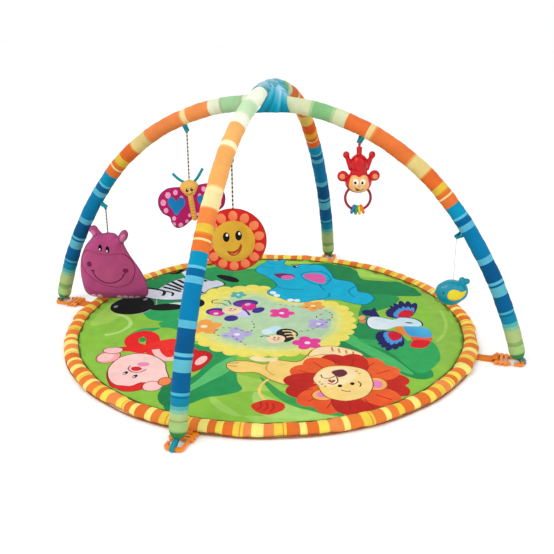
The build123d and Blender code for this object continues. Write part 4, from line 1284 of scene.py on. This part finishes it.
def blended(name, pieces):
    """One smooth moulding from overlapping egg shapes and limbs, given as (verts, faces)."""
    verts, faces = [], []
    for part, quads in pieces:
        faces += [tuple(len(verts) + i for i in f) for f in quads]
        verts += [tuple(p) for p in part]
    made = make(name, verts, faces)
    remesh = made.modifiers.new("join", "REMESH")
    remesh.mode = "VOXEL"
    remesh.voxel_size = 1.1 * MM
    smooth = made.modifiers.new("soft", "SMOOTH")
    smooth.factor = 0.5
    smooth.iterations = 6
    apply_modifiers(made)
    made.data.polygons.foreach_set("use_smooth", [True] * len(made.data.polygons))
    return made


def egg(toy, u, z, across, high, deep):
    """An egg-shaped solid at (u, z), with its three half sizes."""
    return skin([ring_of(on_toy(toy, u, z + high * cos(t)), ACROSS * across * sin(t), TOWARD * deep * sin(t),
                         full_turn(28)) for t in np.arange(1, 16) * pi / 16])


def limb(toy, first, last, r1, r2):
    """A round bar between two points, from one radius to the other."""
    a, b = on_toy(toy, *first), on_toy(toy, *last)
    across = np.cross(unit(b - a), TOWARD)
    return skin([ring_of(a + (b - a) * t, across, TOWARD, full_turn(18), r1 + (r2 - r1) * t)
                 for t in np.arange(7) / 6])


def surface_of(piece, toy, side=1):
    """How far a piece's surface stands out, toward the front or the back, at a point of the toy's plane."""
    corners = [v.co.copy() for v in piece.data.vertices]
    tree = BVHTree.FromPolygons(corners, [tuple(p.vertices) for p in piece.data.polygons])

    def depth(u, z):
        start = Vector(on_toy(toy, u, z, side * 60) * MM)
        hit = tree.ray_cast(start, Vector(TOWARD * -side))[0]
        return 60 - (hit - start).length / MM if hit else 2.0

    return depth


def inlay(toy, name, outline, art, surface, lift_by, stands_for=(), side=1, grid=2.0):
    """A thin shaped plate that follows a rounded surface: surface gives the depth at each point."""
    flat, faces, tints = cut_out(outline, art, grid)
    away = np.clip(distance_to(flat, np.asarray(outline, float)) / 1.6, 0, 1)
    rise = lift_by * np.sqrt(1 - (1 - away) ** 2)
    depth = np.array([surface(u, z) for u, z in flat])
    top = [on_toy(toy, u, z, side * (d + r - 0.1)) for (u, z), d, r in zip(flat, depth, rise)]
    made = walled(name, faces, tints, top, lambda i: on_toy(toy, *flat[i], side * (depth[i] - 1.6)),
                  art.ground, art.ground, away=side < 0)
    return dress(made, painted_plastic, toy, stands_for)


RING_RADIUS = 25.5
BEAD_STEP = 14.6


def monkey():
    toy = "monkey"
    parts = [
        egg(toy, 0, -81, 27, 22, 21.5), egg(toy, 0, -46, 18.5, 22, 17), egg(toy, 0, -62, 17.5, 12, 17),
        limb(toy, (0, -10), (0, -28), 6.0, 5.0),
        egg(toy, -31.5, -69, 11.2, 11.2, 5.2), egg(toy, 31.5, -68, 11.2, 11.2, 5.2),
    ]
    for side in (-1, 1):
        parts.append(limb(toy, (side * 24, -29), (side * 15, -56), 4.6, 5.2))
        parts.append(egg(toy, side * 25.5, -26, 6.8, 7.4, 6.8))
    shell = blended("monkey_moulded_shell", parts)
    depth = surface_of(shell, toy)
    dress(shell, red_plastic, toy, ("monkey_shell",))
    eyelet = ring_of(HANG[toy] - UP * 5.0, np.array((0, 1, 0)), UP, full_turn(40), 4.6)
    dress(round_tube("monkey_hanging_eye", eyelet, 1.7, 10), red_plastic, toy)
    heart = smooth_path(((0, -67), (-8, -63.5), (-16, -67), (-19, -76), (-20, -86), (-14, -96), (0, -99.5),
                         (14, -96), (20, -86), (19, -76), (16, -67), (8, -63.5)), 1.6, True)
    art = Art("F4BC74", 1.2)
    art.oval("F8CC8C", 0, -90, 13, 7)
    for x in (-7, 7):
        art.oval("FCF4E8", x, -76, 5.4, 5.8)
        art.oval("14100C", x - 1.0, -77.6, 2.6, 3.0)
    art.ovals("6C2818", 1.1, 1.0, -1.4, -85.5, 1.4, -85.5)
    art.line("50180C", 1.3, -9, -86.5, -4, -91.5, 2, -93.2, 7, -92, 10, -89)
    art.blob("50180C", -7.5, -88, -2, -90, 2, -92, -2, -94.6, -6, -92.6, fade="902818")
    inlay(toy, "monkey_face_plate", heart, art, depth, 1.5, ("monkey_face",))
    for side in (-1, 1):
        inlay(toy, f"monkey_ear_inset_{side_word(side)}", round_outline(side * 32.5, -69, 6.2, 1.4),
              Art("F0905C", 1.2), depth, 0.5)
    middle = -113.5
    ring = ring_of(on_toy(toy, 0, middle), UP, ACROSS, full_turn(96), RING_RADIUS)
    dress(round_tube("monkey_grip_ring", ring, 2.7, 14), ring_plastic, toy, ("monkey_ring",))
    for k, code in enumerate(("1878C0", "34A848", "F0D028", "F07820")):
        swing = radians((k - 1.5) * BEAD_STEP)
        ahead = ACROSS * cos(swing) + UP * sin(swing)
        out = ACROSS * sin(swing) - UP * cos(swing)
        core = on_toy(toy, 0, middle) + out * RING_RADIUS
        rings = []
        for t in full_turn(40):
            way = out * cos(t) + TOWARD * sin(t)
            rings.append(ring_of(core + way * 6.6, way * 3.7, ahead * 3.1, full_turn(14)))
        made = make(f"monkey_bead_{k + 1}", *skin(rings, closed=True), code)
        dress(made, painted_plastic, "monkey_beads", ("monkey_beads",))


def bird():
    toy = "bird"
    z = -118.0
    parts = [
        egg(toy, -3, z, 30, 27, 21), egg(toy, 8, z + 2, 24, 23, 17), egg(toy, -16, z + 3, 18, 19, 16),
        limb(toy, (14, z + 9), (21, z + 23), 9.5, 6.8),
        egg(toy, 17.5, z + 26.5, 6.6, 6.6, 5.0), egg(toy, 27, z + 23.5, 6.8, 6.6, 5.0),
        egg(toy, -32, z + 1, 4.6, 3.0, 3.2),
    ]
    body = blended("bird_moulded_body", parts)
    sides = {side: surface_of(body, toy, side) for side in (1, -1)}
    dress(body, bird_plastic, toy, ("bird_body",))
    drop = smooth_path(((-14, z), (-11, z + 9), (-3, z + 13), (7, z + 11), (15, z + 7), (25, z + 8),
                        (21, z - 3), (11, z - 9), (-2, z - 10), (-11, z - 7)), 1.6, True)
    for side, word in ((1, "near"), (-1, "far")):
        inlay(toy, f"bird_wing_{word}", drop, Art("F0D818", 1.6), sides[side], 1.4,
              ("bird_wings",), side)
        inlay(toy, f"bird_eye_{word}", round_outline(-21, z + 5, 1.9, 0.9), Art("101418", 1.0), sides[side],
              0.6, (), side, grid=1.0)


# ---- cords and hanging tabs -------------------------------
EYE_REACH = 7.2


def hanging_cord(toy, node_name, reach, wire, material, bends=6, loop_way=(0, 1, 0)):
    """The straight cord that a toy hangs on, below the small loop through the strap's eye."""
    top_point = HANG[toy] - UP * EYE_REACH
    length = reach - EYE_REACH
    line = bpy.data.curves.new(f"{toy}_hanging_cord", "CURVE")
    line.dimensions = "3D"
    line.bevel_depth = wire * MM
    line.bevel_resolution = 4
    line.use_fill_caps = True
    spline = line.splines.new("NURBS")
    spline.points.add(bends - 1)
    for point, down in zip(spline.points, np.linspace(0, length, bends)):
        point.co = (*((top_point - UP * down) * MM), 1)
    spline.order_u = 3
    spline.use_endpoint_u = True
    cord = show(line.name, line)
    dress(cord, material, toy, (node_name,))
    loop = ring_of(HANG[toy] - UP * EYE_REACH / 2, np.array(loop_way), UP, full_turn(36), EYE_REACH / 2)
    eye_loop = round_tube(f"{toy}_cord_eye_loop", loop, max(wire * 0.66, 0.4), 10)
    dress(eye_loop, material, toy)


def hanging_tab(toy):
    """A doubled ribbon sewn under the sleeve, open at the bottom as an eye for the toy."""
    hinge = joints[f"{toy}_strap_turn"]
    middle = np.array(hinge["pos_m"]) / MM
    inward = unit(HANG[toy] - middle)
    ahead = np.array(hinge["axis"])
    side = np.cross(inward, ahead)
    ahead, side = ahead * cos(0.9) + side * sin(0.9), side * cos(0.9) - ahead * sin(0.9)
    half = ((14.5, 5.0), (18.0, 4.4), (23.0, 2.9), (29.4, 1.8))
    points = [middle + inward * down + ahead * out for down, out in half]
    points += [middle + inward * down - ahead * out for down, out in half[::-1]]
    made = ribbon(f"{toy}_ribbon_tab", points, side, 9.0, 1.2)
    dress(made, webbing, f"{toy}_strap", (f"{toy}_strap",))


hanging_cord("sun", "sun_cord", 102.0, 1.5, cord_braid, loop_way=(1, 0, 0))
hanging_cord("butterfly", "butterfly_cord", 115.0, 1.5, cord_braid)
hanging_cord("hippo", "hippo_cord", 70.0, 1.5, cord_braid, bends=5)
hanging_cord("bird", "bird_string", 96.0, 0.4, string_braid)
for toy in TOYS:
    hanging_tab(toy)
sun()
butterfly()
hippo()
monkey()
bird()


# ---- CAD nodes that stay ----------------------------------
for name, kept in frame["nodes"].items():
    if not kept.hide_render:
        look = hub_plastic if name.startswith("hub") else tube_plastic
        kept.data.materials.clear()
        kept.data.materials.append(rivet_metal if name == "hub_rivet" else look)


# ---- floor and light --------------------------------------
FLOOR_HALF = 6000
floor = make("studio_floor", [(x, y, 0) for x, y in ((-FLOOR_HALF, -FLOOR_HALF), (FLOOR_HALF, -FLOOR_HALF),
                                                     (FLOOR_HALF, FLOOR_HALF), (-FLOOR_HALF, FLOOR_HALF))],
             [(0, 1, 2, 3)])
floor_paint = bpy.data.materials.new("studio floor")
floor_paint.use_nodes = True
floor_shader = floor_paint.node_tree.nodes["Principled BSDF"]
floor_shader.inputs["Base Color"].default_value = (0.99, 0.99, 0.99, 1)
floor_shader.inputs["Roughness"].default_value = 0.9
floor.data.materials.append(floor_paint)

world = bpy.data.worlds.new("studio")
bpy.context.scene.world = world
world.use_nodes = True
sky = world.node_tree.nodes["Background"]
sky.inputs["Color"].default_value = (1, 1, 1, 1)
sky.inputs["Strength"].default_value = 1.0
bpy.context.scene.view_settings.view_transform = "Standard"


def soft_light(name, place, size, power):
    """A square area light that faces the middle of the gym."""
    data = bpy.data.lights.new(name, "AREA")
    data.size = size
    data.energy = power
    light = show(name, data)
    light.location = place
    light.rotation_euler = (Vector((0, 0, 0.2)) - Vector(place)).to_track_quat("-Z", "Y").to_euler()


soft_light("key", (-1.0, -1.8, 2.6), 1.6, 26)
soft_light("fill", (2.2, -0.8, 1.6), 2.0, 8)
